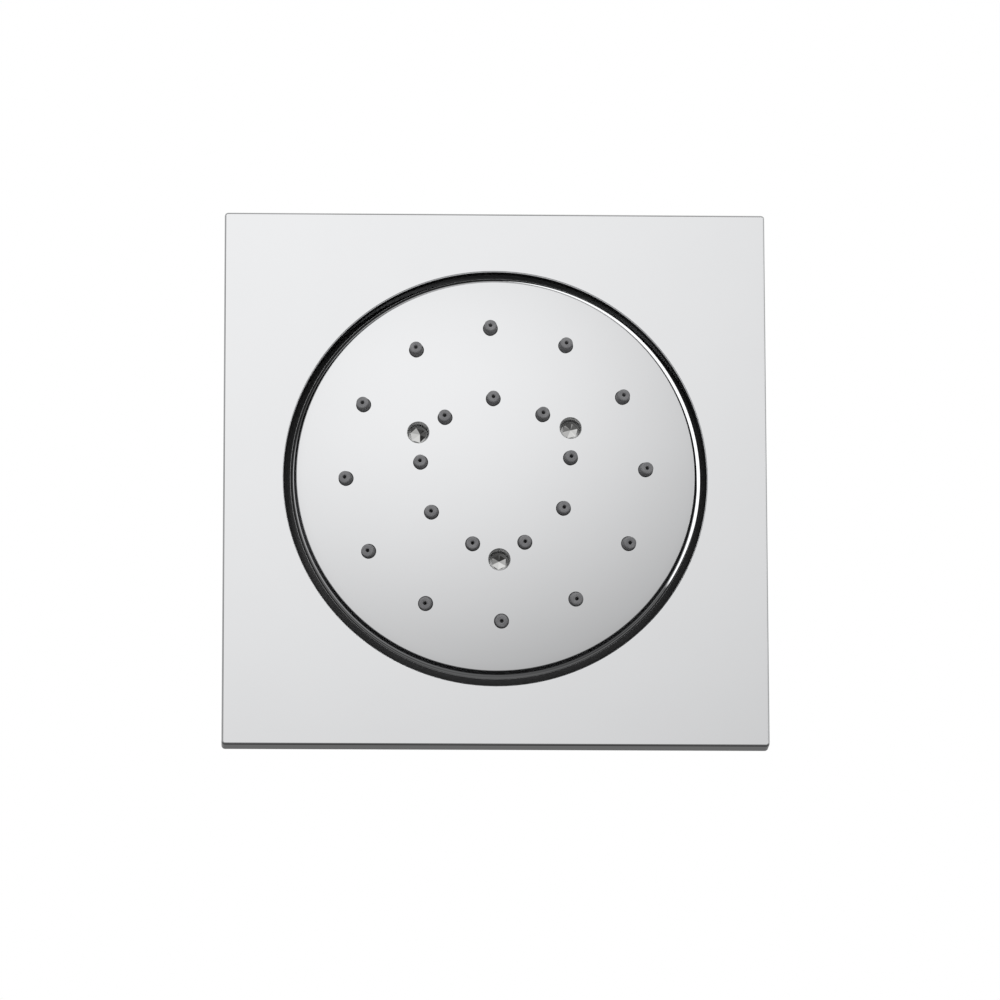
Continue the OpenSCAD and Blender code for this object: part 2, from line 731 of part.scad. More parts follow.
// Rubber mat with all the nozzles moulded on it
module nozzle_mat() {
    root = face_t + 0.1;
    color(silicone) facing() difference() {
        union() {
            difference() {
                under_dome(insert_r, mat_drop, distributor_back_z);
                under_dome(insert_r + 1, distributor_drop, distributor_back_z - 1);
            }
            at_nozzles() {
                translate([0, 0, -root]) cylinder(r = nozzle_r, h = root, $fn = fine);
                cylinder(r1 = nozzle_r, r2 = nozzle_tip_r, h = nozzle_h, $fn = fine);
            }
        }
        at_nozzles() {
            disc(jet_r, 0, nozzle_h + 1, $fn = 24);
            disc(nozzle_bore_r, -distributor_drop - 1, nozzle_h - 1, $fn = 24);
        }
        at_screws() disc(pocket_out_r + screw_gap, distributor_back_z, edge_z + 5);
    }
}

module screw_seals() {
    color(rubber) facing()
        at_screws() ring_seal(screw_seal_mid_r, screw_seal_r, distributor_back_z + screw_seal_r + fit_gap / 2);
}

// Socket screws, sunk in the pockets of the face
module face_screws() {
    color(steel) facing() at_screws() difference() {
        union() {
            disc(screw_head_r, pocket_floor_z, pocket_floor_z + screw_head_h);
            disc(screw_r, pocket_floor_z - screw_len, pocket_floor_z + 1);
        }
        hexagon(socket_af, pocket_floor_z + screw_head_h - 1.2, pocket_floor_z + screw_head_h + 1);
    }
}

// Outline of the face from its tail, over the bead and the hollow flare, to the rounded edge
function face_outline() = concat(
    [[0, tail_z], [tail_r, tail_z]],
    arc(bead_mid_r, bead_z, bead_r, -60, 80),
    [for (i = [arc_steps:-1:0]) let (t = 90 * i / arc_steps)
        [face_r + (flare - bead_r) * (1 - cos(t)), round_z - (round_z - bead_z - bead_r) * sin(t)]],
    arc(round_r, round_z, face_edge_r, 0, 90 - dome_lean),
    [[round_r + face_edge_r * sin(dome_lean), dome_z + dome_r + 1], [0, dome_z + dome_r + 1]]);

module spray_face() {
    color(silver) facing() difference() {
        union() {
            difference() {
                intersection() {
                    turned(face_outline());
                    translate([0, 0, dome_z]) sphere(r = dome_r, $fn = dome_fn);
                }
                under_dome(face_in_r, face_t, tail_z - 1);
            }
            at_screws() disc(pocket_out_r, pocket_back_z, dome_at(screw_ring_r) - face_t / 2);
        }
        at_nozzles() disc(nozzle_r + nozzle_gap, -face_t - 2, 3, $fn = fine);
        at_screws() {
            disc(pocket_r, pocket_floor_z, edge_z + 5);
            disc(screw_r + screw_gap, pocket_back_z - 1, pocket_floor_z + 1);
        }
    }
}

cover_plate();
plate_seal();
plate_springs();
housing();
inlet_body();
body_gasket();
lock_nut();
inlet_screen();
flow_regulator();
regulator_seal();
stem_seal();
ball_stem();
rear_seat();
front_seat();
ball_seal();
spring_washer();
swivel_cup();
cup_seal();
retaining_nut();
head_shell();
chamber_seal();
distributor();
nozzle_mat();
screw_seals();
face_screws();
spray_face();
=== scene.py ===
import json
import math

import bpy
import numpy as np
from mathutils import Matrix, Vector
from mathutils.geometry import delaunay_2d_cdt


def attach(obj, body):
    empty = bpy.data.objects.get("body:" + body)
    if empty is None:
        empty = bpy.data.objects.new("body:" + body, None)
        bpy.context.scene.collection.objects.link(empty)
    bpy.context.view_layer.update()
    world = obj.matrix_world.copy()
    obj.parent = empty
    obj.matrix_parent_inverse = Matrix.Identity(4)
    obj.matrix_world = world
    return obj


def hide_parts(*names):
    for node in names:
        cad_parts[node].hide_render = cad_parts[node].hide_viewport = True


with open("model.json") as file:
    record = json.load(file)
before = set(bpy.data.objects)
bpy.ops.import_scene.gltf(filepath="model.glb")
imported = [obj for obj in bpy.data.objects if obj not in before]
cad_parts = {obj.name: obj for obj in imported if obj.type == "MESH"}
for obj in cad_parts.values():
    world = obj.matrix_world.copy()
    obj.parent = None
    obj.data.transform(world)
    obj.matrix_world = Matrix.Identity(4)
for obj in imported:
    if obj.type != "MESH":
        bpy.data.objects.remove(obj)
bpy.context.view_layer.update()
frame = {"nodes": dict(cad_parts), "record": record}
print("frame loaded")

# Sizes are in millimetres, as (x, y, out): x to the right, y up, out of the wall. toRow turns them into the frame.


def toRow(points, scale=0.001):
    points = np.asarray(points, float)
    return np.stack([points[..., 0], -points[..., 2], points[..., 1]], -1) * scale


def unit(v):
    return v / np.maximum(np.linalg.norm(v, axis=-1, keepdims=True), 1e-12)


# Meshes: each piece is sewn from patches, and a patch is (points, normals, faces) in millimetres


def gridFaces(rows, cols, closeRows=False, closeCols=True):
    i = np.arange(rows if closeRows else rows - 1)
    j = np.arange(cols if closeCols else cols - 1)
    i, j = (m.ravel() for m in np.meshgrid(i, j, indexing="ij"))
    k, l = (i + 1) % rows, (j + 1) % cols
    return np.stack([i * cols + j, i * cols + l, k * cols + l, k * cols + j], -1)


def gridPatch(points, normals, closeRows=False, closeCols=True):
    rows, cols = points.shape[:2]
    return (points.reshape(-1, 3), unit(normals).reshape(-1, 3), gridFaces(rows, cols, closeRows, closeCols))


# A section is a list of (points, normals) bits in the plane of (radius, out), joined by straight lines.
# A rounded corner is an arc of radius r that touches both its sides: centre = corner - r (tan of half the turn) along
# the first side, and then r across it.
def roundedCorners(corners, steps=5, closed=True):
    c = np.array(corners, float)
    p, r = c[:, :2], c[:, 2]
    if closed:
        before, after = np.roll(p, 1, 0), np.roll(p, -1, 0)
    else:
        before, after = p[:-2], p[2:]
        p, r = p[1:-1], r[1:-1]
    d0, d1 = unit(p - before), unit(after - p)
    n0 = np.stack([d0[:, 1], -d0[:, 0]], -1)
    turn = np.arctan2(d0[:, 0] * d1[:, 1] - d0[:, 1] * d1[:, 0], (d0 * d1).sum(-1))
    across = r * np.sign(turn)
    start = p - d0 * (r * np.tan(np.abs(turn) / 2))[:, None]
    centre = start - n0 * across[:, None]
    angle = np.arctan2(n0[:, 1], n0[:, 0])[:, None] + turn[:, None] * np.linspace(0, 1, steps + 1)
    normals = np.stack([np.cos(angle), np.sin(angle)], -1)
    points = centre[:, None] + normals * across[:, None, None]
    points, normals = points.reshape(-1, 2), normals.reshape(-1, 2)
    if closed:
        return points, normals
    ends = c[[0, -1], :2]
    return np.concatenate([ends[:1], points, ends[1:]]), np.concatenate([normals[:1], normals, normals[-1:]])


def arcBit(cx, cy, r, first, last, steps):
    t = np.radians(np.linspace(first, last, steps + 1))
    n = np.stack([np.cos(t), np.sin(t)], -1)
    return np.array([cx, cy]) + r * n, n


def joined(*bits):
    return np.concatenate([b[0] for b in bits]), np.concatenate([b[1] for b in bits])


# Turned patch: point = (radius cos a, radius sin a, out), with a once round
def turned(section, count, closed=False):
    p, n = section
    a = np.linspace(0, 2 * math.pi, count, endpoint=False)
    cos, sin = np.cos(a)[None], np.sin(a)[None]
    points = np.stack([p[:, :1] * cos, p[:, :1] * sin, np.repeat(p[:, 1:], count, 1)], -1)
    normals = np.stack([n[:, :1] * cos, n[:, :1] * sin, np.repeat(n[:, 1:], count, 1)], -1)
    return gridPatch(points, normals, closeRows=closed)


# Sew patches: points closer than a tenth of a micron are one, each face is turned to its patch's normals,
# and those normals become the shading
def sew(name, patches, body, slots=(), faceSlots=None):
    offset = np.cumsum([0] + [len(p[0]) for p in patches])
    points = np.concatenate([p[0] for p in patches])
    normals = np.concatenate([p[1] for p in patches])
    cells = np.round(points * 1e4).astype(np.int64)
    keep, where = np.unique(cells, axis=0, return_index=True, return_inverse=True)[1:]
    where = where.ravel()
    corners, loops, marks = [], [], []
    for number, (patch, start) in enumerate(zip(patches, offset)):
        faces = patch[2] + start
        p = points[faces]
        facing = np.cross(p[:, 1] - p[:, 0], p[:, -1] - p[:, 0]) + np.cross(p[:, 2] - p[:, 1], p[:, 0] - p[:, 1])
        turnedOver = (facing * normals[faces].mean(1)).sum(-1) < 0
        faces[turnedOver] = faces[turnedOver][:, ::-1]
        flat = where[faces]
        alive = (flat != np.roll(flat, 1, 1)) & (flat[:, :1] * 0 + 1).astype(bool)
        corners.append((faces, flat, alive))
        marks.append(np.full(len(faces), 0 if faceSlots is None else faceSlots[number]))
    totals, vertexIndex, cornerNormal, slotIndex = [], [], [], []
    for (faces, flat, alive), mark in zip(corners, marks):
        sides = alive.sum(1)
        good = sides >= 3
        if flat.shape[1] == 4:
            good &= ~((flat[:, 0] == flat[:, 2]) | (flat[:, 1] == flat[:, 3]))
        alive = alive & good[:, None]
        totals.append(sides[good])
        vertexIndex.append(flat[alive])
        cornerNormal.append(normals[faces[alive]])
        slotIndex.append(mark[good])
    totals, vertexIndex = np.concatenate(totals), np.concatenate(vertexIndex)
    cornerNormal, slotIndex = np.concatenate(cornerNormal), np.concatenate(slotIndex)
    used, vertexIndex = np.unique(vertexIndex, return_inverse=True)
    mesh = bpy.data.meshes.new(name)
    mesh.vertices.add(len(used))
    mesh.vertices.foreach_set("co", toRow(points[keep[used]]).ravel())
    mesh.loops.add(len(vertexIndex))
    mesh.loops.foreach_set("vertex_index", vertexIndex.ravel().astype(np.int32))
    mesh.polygons.add(len(totals))
    mesh.polygons.foreach_set("loop_start", np.concatenate([[0], np.cumsum(totals)[:-1]]).astype(np.int32))
    mesh.polygons.foreach_set("material_index", slotIndex.astype(np.int32))
    mesh.update(calc_edges=True)
    mesh.validate()
    mesh.normals_split_custom_set(toRow(cornerNormal, 1.0))
    piece = bpy.data.objects.new(name, mesh)
    bpy.context.scene.collection.objects.link(piece)
    for material in slots:
        mesh.materials.append(material)
    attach(piece, body)
    return piece


# Shader maths: a wire is a socket with Python's operators on it


class Wire:
    def __init__(self, tree, socket, kind="number"):
        self.tree, self.socket, self.kind = tree, socket, kind

    def combine(self, operation, other, swap=False):
        pair = [other, self] if swap else [self, other]
        isVector = any(isinstance(p, Wire) and p.kind == "vector" or isinstance(p, tuple) for p in pair)
        if isVector and operation in ("ADD", "SUBTRACT", "MULTIPLY", "DIVIDE"):
            pair = [(p, p, p) if isinstance(p, (int, float)) else p for p in pair]
            return self.tree.add("VectorMath", {"operation": operation}, {0: pair[0], 1: pair[1]}, gives="vector")
        return self.tree.add("Math", {"operation": operation}, {0: pair[0], 1: pair[1]})

    def __add__(self, other): return self.combine("ADD", other)
    def __radd__(self, other): return self.combine("ADD", other, True)
    def __sub__(self, other): return self.combine("SUBTRACT", other)
    def __rsub__(self, other): return self.combine("SUBTRACT", other, True)
    def __mul__(self, other): return self.combine("MULTIPLY", other)
    def __rmul__(self, other): return self.combine("MULTIPLY", other, True)
    def __truediv__(self, other): return self.combine("DIVIDE", other)
    def __rtruediv__(self, other): return self.combine("DIVIDE", other, True)
    def __pow__(self, other): return self.combine("POWER", other)
    def __gt__(self, other): return self.combine("GREATER_THAN", other)
    def __lt__(self, other): return self.combine("LESS_THAN", other)
    def __abs__(self): return self.tree.add("Math", {"operation": "ABSOLUTE"}, {0: self})

    def atLeast(self, other): return self.combine("MAXIMUM", other)
    def atMost(self, other): return self.combine("MINIMUM", other)

    def over(self, low, high, toLow=0.0, toHigh=1.0, smooth=True):
        return self.tree.add("MapRange", {"interpolation_type": "SMOOTHSTEP" if smooth else "LINEAR"},
                             {0: self, 1: low, 2: high, 3: toLow, 4: toHigh})


class Tree:
    def __init__(self, tree):
        self.tree = tree
        tree.nodes.clear()

    # settings first, then the sockets, by name or number
    def add(self, nodeType, settings=None, sockets=None, out=0, gives="number"):
        node = self.tree.nodes.new("ShaderNode" + nodeType)
        for key, value in (settings or {}).items():
            if key == "stops":
                ramp = node.color_ramp.elements
                while len(ramp) < len(value):
                    ramp.new(0.5)
                for stop, (place, colour) in zip(ramp, value):
                    stop.position, stop.color = place, (*colour, 1)
            else:
                setattr(node, key, value)
        for key, value in (sockets or {}).items():
            if isinstance(value, Wire):
                self.tree.links.new(value.socket, node.inputs[key])
            else:
                if isinstance(value, tuple) and node.inputs[key].type == "RGBA" and len(value) == 3:
                    value = (*value, 1)
                node.inputs[key].default_value = value
        return Wire(self, node.outputs[out], gives) if len(node.outputs) else None

    def split(self, vector):
        return [self.add("SeparateXYZ", {}, {0: vector}, out=i) for i in range(3)]

    def blend(self, amount, first, second):
        return self.add("Mix", {"data_type": "RGBA"}, {0: amount, 6: first, 7: second}, out=2, gives="colour")

    def mixed(self, amount, first, second):
        return self.add("Mix", {"data_type": "FLOAT"}, {0: amount, 2: first, 3: second})

    def noise(self, where, scale, detail=2.0, roughness=0.5):
        return self.add("TexNoise", {}, {"Vector": where, "Scale": scale, "Detail": detail,
                                         "Roughness": roughness})

    def placed(self, scale=(1, 1, 1), turn=(0, 0, 0), shift=(0, 0, 0)):
        here = self.add("TexCoord", {}, {}, out="Object", gives="vector")
        return self.add("Mapping", {}, {"Vector": here, "Scale": scale, "Rotation": turn, "Location": shift},
                        gives="vector")

    def bump(self, height, strength, distance):
        return self.add("Bump", {}, {"Height": height, "Strength": strength, "Distance": distance},
                        gives="vector")

    def surface(self, **sockets):
        names = {k: v for k, v in sockets.items()}
        shader = self.add("BsdfPrincipled", {}, {k.replace("_", " "): v for k, v in names.items()})
        self.add("OutputMaterial", {}, {"Surface": shader})


def material(name):
    m = bpy.data.materials.new(name)
    m.use_nodes = True
    return m, Tree(m.node_tree)


# Polished chrome: a faint orange peel under the plating, hair scratches from wiping and soft smudges
def polishedChrome(name, tint=(0.88, 0.885, 0.895), peel=0.02, seed=0.0):
    m, t = material(name)
    here = t.placed(shift=(seed, 0, seed))
    smudge = t.noise(here, 55.0, 3.0)
    hair = t.noise(t.placed(scale=(900, 900, 40), turn=(0, 0.6, 0)), 1.0, 1.0)
    hairAcross = t.noise(t.placed(scale=(50, 900, 1100), turn=(0, 0.5, 0)), 1.0, 1.0)
    wear = (hair * hairAcross).over(0.28, 0.5)
    rough = 0.025 + smudge.over(0.35, 0.75) * 0.02 + wear * 0.015
    waves = t.noise(here, 140.0, 1.0)
    t.surface(**{"Base Color": t.blend(smudge.over(0.3, 0.8) * 0.25, tint, tuple(c * 0.965 for c in tint)),
                 "Metallic": 1.0, "Roughness": rough, "Normal": t.bump(waves, peel, 0.0002)})
    return m


# Satin chrome of the drawn pockets, where the polishing wheel doesn't reach
def satinChrome(name, tint=(0.78, 0.785, 0.79)):
    m, t = material(name)
    cloud = t.noise(t.placed(), 300.0, 2.0)
    t.surface(**{"Base Color": t.blend(cloud.over(0.3, 0.8), tint, tuple(c * 0.9 for c in tint)), "Metallic": 1.0,
                 "Roughness": 0.24 + cloud * 0.1, "Normal": t.bump(cloud, 0.05, 0.0001)})
    return m


# Turned or machined metal: fine rings round the part's own axis, a little tarnish in patches
def machinedMetal(name, tint, tarnish, ringPitch=0.00022, rough=0.24, depth=0.12, spots=90.0):
    m, t = material(name)
    here = t.placed()
    x, y, z = t.split(here)
    radius = (x * x + z * z) ** 0.5
    wobble = t.noise(here, 220.0, 2.0)
    rings = t.add("TexNoise", {}, {"Vector": t.add("CombineXYZ", {}, {0: radius / ringPitch, 1: y / ringPitch, 2: 0.0},
                                                    gives="vector"), "Scale": 1.0, "Detail": 2.0})
    patches = t.noise(here, spots, 4.0, 0.6)
    colour = t.blend(patches.over(0.42, 0.72), tint, tarnish)
    t.surface(**{"Base Color": colour, "Metallic": 1.0,
                 "Roughness": rough + rings * 0.1 + patches.over(0.4, 0.8) * 0.12,
                 "Normal": t.bump(rings * 0.7 + wobble * 0.3, depth, 0.00003)})
    return m


# Moulded plastic: spark-eroded grain, faint flow marks and a little dust in the tone
def mouldedPlastic(name, tint, grain=0.25, rough=0.5, pitch=2600.0, shade=0.88, **extra):
    m, t = material(name)
    here = t.placed()
    fine = t.add("TexVoronoi", {"feature": "SMOOTH_F1"}, {"Vector": here, "Scale": pitch})
    soft = t.noise(here, 420.0, 3.0)
    flow = t.noise(t.placed(scale=(40, 160, 40)), 1.0, 3.0)
    tone = (flow * 0.6 + soft * 0.4).over(0.35, 0.68)
    t.surface(**{"Base Color": t.blend(tone, tuple(c * shade for c in tint), tint),
                 "Roughness": rough + soft.over(0.3, 0.7) * 0.08 + flow * 0.06,
                 "Normal": t.bump(fine * 0.7 + soft * 0.5, grain, 0.00006), **extra})
    return m


# Rubber: matt skin with fine mottling and mould haze
def mouldedRubber(name, tint, haze, rough=0.55, grain=0.2, pitch=3200.0):
    m, t = material(name)
    here = t.placed()
    fine = t.noise(here, pitch, 3.0, 0.6)
    cloud = t.noise(here, 520.0, 3.0)
    t.surface(**{"Base Color": t.blend(cloud.over(0.35, 0.7), tint, haze),
                 "Roughness": rough + cloud * 0.12, "Normal": t.bump(fine, grain, 0.00005)})
    return m


# Closed-cell foam: small cells with thin bright walls
def foamMaterial(name, tint, wall):
    m, t = material(name)
    here = t.placed()
    cells = t.add("TexVoronoi", {"feature": "DISTANCE_TO_EDGE"}, {"Vector": here, "Scale": 2300.0})
    t.surface(**{"Base Color": t.blend(cells.over(0.02, 0.25), wall, tint), "Roughness": 0.85,
                 "Normal": t.bump(cells.over(0.0, 0.4), 0.6, 0.00012)})
    return m


plateChrome = polishedChrome("plateChrome")
faceChrome = polishedChrome("faceChrome", seed=0.37)
brassTint, brassDark = (0.80, 0.60, 0.30), (0.58, 0.39, 0.17)
finishes = {
    "plate_chrome": plateChrome,
    "face_chrome": faceChrome,
    "plated_brass": machinedMetal("platedBrass", (0.80, 0.81, 0.82), (0.70, 0.71, 0.73), rough=0.10, depth=0.08),
    "brass": machinedMetal("machinedBrass", brassTint, brassDark),
    "stainless": machinedMetal("stainlessSteel", (0.66, 0.66, 0.65), (0.55, 0.55, 0.54), rough=0.2),
    "silicone": mouldedRubber("nozzleSilicone", (0.135, 0.135, 0.14), (0.175, 0.175, 0.18), rough=0.5),
    "seal_rubber": mouldedRubber("sealRubber", (0.022, 0.022, 0.023), (0.04, 0.04, 0.042), rough=0.42),
    "foam": foamMaterial("cellFoam", (0.045, 0.045, 0.05), (0.10, 0.10, 0.11)),
    "shell_plastic": mouldedPlastic("shellPlastic", (0.12, 0.12, 0.122), rough=0.4, grain=0.2),
    "housing_plastic": mouldedPlastic("housingPlastic", (0.33, 0.34, 0.35), rough=0.48, grain=0.3),
    "white_plastic": mouldedPlastic("whitePlastic", (0.74, 0.74, 0.72), rough=0.4, grain=0.15, shade=0.94),
    "seat_plastic": mouldedPlastic("seatPlastic", (0.78, 0.77, 0.73), rough=0.28, grain=0.06, shade=0.95),
}
slotOf = {row["node"]: row["material_slot"] for row in frame["record"]["subparts"]}
for nodeName, node in frame["nodes"].items():
    finish = finishes[slotOf[nodeName]]
    if not node.material_slots:
        node.data.materials.append(finish)
    for place in node.material_slots:
        place.material = finish
print("finishes made")


# Cover plate: one closed sheet whose section runs from the round opening to the square rim

plate = {
    "half": 62.5, "depth": 6.0, "wall": 1.8, "rim": 1.6, "cornerR": 0.8, "edgeR": 0.45,
    "openingR": 48.60, "openingEdgeR": 0.35, "lipOut": 3.4, "lipT": 1.6, "tinyR": 0.12,
    "side": 40, "corner": 8, "catchLong": 14.0, "catchAt": 36.0, "catchReach": 0.8,
    "catchTop": 1.2, "catchTall": 0.35,
}


# Round the square: a station is a rounded square (half width h, corner radius c), sampled at the same shares all round.
# Along a side the point is (h, y) with y evenly spaced, and round a corner it is centre + c (cos t, sin t).
def squareRing(h, c):
    share = np.linspace(-1, 1, plate["side"] + 1)
    turn = np.linspace(0, math.pi / 2, plate["corner"] + 1)[1:-1]
    side = np.stack([np.full_like(share, h), share * (h - c)], -1)
    corner = np.stack([h - c + c * np.cos(turn), h - c + c * np.sin(turn)], -1)
    quarter = np.concatenate([side, corner])
    sideNormal = np.stack([np.ones_like(share), np.zeros_like(share)], -1)
    quarterNormal = np.concatenate([sideNormal, np.stack([np.cos(turn), np.sin(turn)], -1)])
    spins = [np.array([[0, -1], [1, 0]]) if k == 1 else np.linalg.matrix_power(np.array([[0, -1], [1, 0]]), k)
             for k in range(4)]
    return (np.concatenate([quarter @ s.T for s in spins]), np.concatenate([quarterNormal @ s.T for s in spins]))


def plateStations():
    p = plate
    innerHalf, back, tiny = p["half"] - p["rim"], p["depth"] - p["wall"], p["tinyR"]
    r, rOut = p["openingR"], p["openingR"] + p["lipT"]
    corners = [(r, p["depth"], p["openingEdgeR"]), (r, p["lipOut"], tiny), (rOut, p["lipOut"], tiny),
               (rOut, back, 0.4), (innerHalf, back, 0.3), (innerHalf, 0, tiny), (p["half"], 0, tiny),
               (p["half"], p["depth"], p["edgeR"])]
    steps = 8
    points, normals = roundedCorners(corners, steps)
    isSquare = np.repeat([False] * 4 + [True] * 4, steps + 1)
    rings, ringNormals = [], []
    count = 4 * (plate["side"] + plate["corner"])
    for (reach, out), (nr, nz), square in zip(points, normals, isSquare):
        inset = p["half"] - reach
        c = max(p["cornerR"] - inset, 0.02) if reach > innerHalf + 0.4 else 0.5
        flat, flatNormal = squareRing(reach, c)
        if not square:
            direction = unit(squareRing(p["half"], p["cornerR"])[0])
            flat, flatNormal = direction * reach, direction
        rings.append(np.column_stack([flat, np.full(count, out)]))
        ringNormals.append(np.column_stack([flatNormal * nr, np.full(count, nz)]))
    return np.array(rings), np.array(ringNormals)


# Bar: a closed section (p, q) carried a reach along a direction, point = origin + p e1 + q e2 + s e3, with flat ends
def bar(section, origin, e1, e2, e3, reach):
    p, n = section
    e1, e2, e3 = (np.asarray(e, float) for e in (e1, e2, e3))
    flat = np.asarray(origin, float) + p[:, :1] * e1 + p[:, 1:] * e2
    ends = [flat - e3 * reach / 2, flat + e3 * reach / 2]
    normals = n[:, :1] * e1 + n[:, 1:] * e2
    patches = [gridPatch(np.stack(ends), np.stack([normals, normals]))]
    i = np.arange(len(flat))
    fan = np.stack([i, (i + 1) % len(flat), np.full(len(flat), len(flat))], -1)
    for end, facing in zip(ends, (-e3, e3)):
        points = np.concatenate([end, end.mean(0)[None]])
        patches.append((points, np.broadcast_to(facing, points.shape).copy(), fan.copy()))
    return patches


# Directions of the four sides, each turned a quarter further: outward and along
def quarterTurns():
    return [(np.array([math.cos(a), math.sin(a), 0]), np.array([-math.sin(a), math.cos(a), 0]))
            for a in np.arange(4) * math.pi / 2]


# Four ridges inside the rim that the springs snap behind
def catchRidges():
    p = plate
    rimFace, tip, top = p["half"] - p["rim"] + 0.01, p["half"] - p["rim"] - p["catchReach"], p["catchTop"]
    section = roundedCorners([(rimFace, top, 0.001), (tip, top, 0.04), (tip, top - 0.1, 0.04),
                              (rimFace, top - p["catchTall"], 0.001)], 3)
    return [patch for outward, along in quarterTurns()
            for patch in bar(section, p["catchAt"] * along, outward, (0, 0, 1), along, p["catchLong"])]


rings, ringNormals = plateStations()
platePatches = [gridPatch(rings, ringNormals, closeRows=True), *catchRidges()]
coverPlate = sew("cover_plate_chrome", platePatches, "wall_unit", [plateChrome])
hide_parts("cover_plate")
print("cover plate made")


# Spray face: a shallow dome with holes for the nozzles and screws, its rounded edge, hollow flare and bead

face = {
    "edgeR": 45.72, "edgeOut": 8.2, "domeR": 370.0, "edgeRound": 0.16, "flare": 1.42, "flareTall": 3.0, "beadR": 0.12,
    "beadFirst": -60, "lipLean": (14.5, 18.5), "lipR": 46.42, "taperR": 46.28, "taperOut": 6.5, "tailR": 46.2, "tailOut": 3.7, "thick": 1.6, "innerR": 44.2, "turn": 2.0,
    "rings": ((12, 34.35), (9, 17.45)), "splay": 165.0, "holeR": 1.64, "holeEdge": 0.1,
    "screwCount": 3, "screwRing": 20.2, "screwFirst": 30.0, "pocketR": 2.4, "pocketDeep": 3.6, "pocketEdge": 0.2,
    "floorRound": 0.25, "pocketWall": 1.0, "screwHoleR": 1.55, "roundTall": 288, "holeSteps": 40, "pocketSteps": 64,
}
domeCentre = face["edgeOut"] - math.sqrt(face["domeR"] ** 2 - face["edgeR"] ** 2)


# Height of the dome, or of a sheet that lies a drop behind it: out = centre - drop + sqrt(R^2 - x^2 - y^2)
def domeOut(flat, drop=0.0):
    return domeCentre - drop + np.sqrt(face["domeR"] ** 2 - (flat ** 2).sum(-1))


def domeNormal(points, drop=0.0):
    return unit(points - np.array([0, 0, domeCentre - drop]))


# Places on a ring of the face: each has its origin on the dome, its own axis and two directions across that axis
def placesOn(angles, radii, splay=None):
    a, r = np.radians(np.asarray(angles, float)), np.asarray(radii, float)
    outward = np.stack([np.cos(a), np.sin(a), 0 * a], -1)
    along = np.stack([-np.sin(a), np.cos(a), 0 * a], -1)
    lean = np.arctan(r / splay) if splay else 0 * r
    up = np.array([0.0, 0.0, 1.0])
    axis = np.sin(lean)[:, None] * outward + np.cos(lean)[:, None] * up
    across = np.cos(lean)[:, None] * outward - np.sin(lean)[:, None] * up
    origin = r[:, None] * outward
    origin[:, 2] = domeOut(origin[:, :2])
    return {"origin": origin, "axis": axis, "u": across, "v": along}


nozzlePlaces = placesOn([90 + face["turn"] + 360 * i / n for n, r in face["rings"] for i in range(n)],
                        [r for n, r in face["rings"] for i in range(n)], face["splay"])
screwPlaces = placesOn([face["screwFirst"] + face["turn"] + 360 * i / face["screwCount"]
                        for i in range(face["screwCount"])], [face["screwRing"]] * face["screwCount"])


# Rings round each place: point = origin + rho (u cos f + v sin f) + t axis, as an array (place, ring, step, 3)
def localRings(places, rho, t, steps):
    f = np.linspace(0, 2 * math.pi, steps, endpoint=False)
    u, v, axis, origin = (places[k][:, None, None, :] for k in ("u", "v", "axis", "origin"))
    radial = u * np.cos(f)[None, None, :, None] + v * np.sin(f)[None, None, :, None]
    rho, t = np.asarray(rho, float)[None, :, None, None], np.asarray(t, float)[None, :, None, None]
    return origin + rho * radial + t * axis, np.broadcast_to(radial, (len(places["origin"]), rho.shape[1], steps, 3))


# The same rings pushed along the place's axis onto the sphere of the dome or of a sheet a drop behind it
def sphereRings(places, rho, steps, drop=0.0, depth=0.0):
    p, radial = localRings(places, rho, [0.0] * len(rho), steps)
    axis = places["axis"][:, None, None, :]
    d = p - np.array([0, 0, domeCentre - drop])
    da = (d * axis).sum(-1, keepdims=True)
    t = -da + np.sqrt(da ** 2 - (d ** 2).sum(-1, keepdims=True) + face["domeR"] ** 2)
    p = p + t * axis
    return p - np.asarray(depth, float)[..., :, None, None] * axis if np.ndim(depth) else p, radial, domeNormal(p, drop)


def manyGrids(points, normals):
    count, rows, cols = points.shape[:3]
    faces = (gridFaces(rows, cols)[None] + (np.arange(count) * rows * cols)[:, None, None]).reshape(-1, 4)
    return points.reshape(-1, 3), unit(normals).reshape(-1, 3), faces


# Rounded rim of a hole in the dome: rho = r + e (1 - sin a), depth = e (1 - cos a), for a from 0 to a right angle
def rimRings(places, r, edge, steps, count=5):
    a = np.linspace(0, math.pi / 2, count)
    p, radial, up = sphereRings(places, r + edge * (1 - np.sin(a)), steps, depth=edge * (1 - np.cos(a)))
    return p, np.cos(a)[None, :, None, None] * up - np.sin(a)[None, :, None, None] * radial


# Rings of a local section, given as (rho, height along the axis) points with their normals
def sectionRings(places, section, steps):
    p, n = section
    points, radial = localRings(places, p[:, 0], p[:, 1], steps)
    axis = places["axis"][:, None, None, :]
    return points, n[None, :, 0, None, None] * radial + n[None, :, 1, None, None] * axis


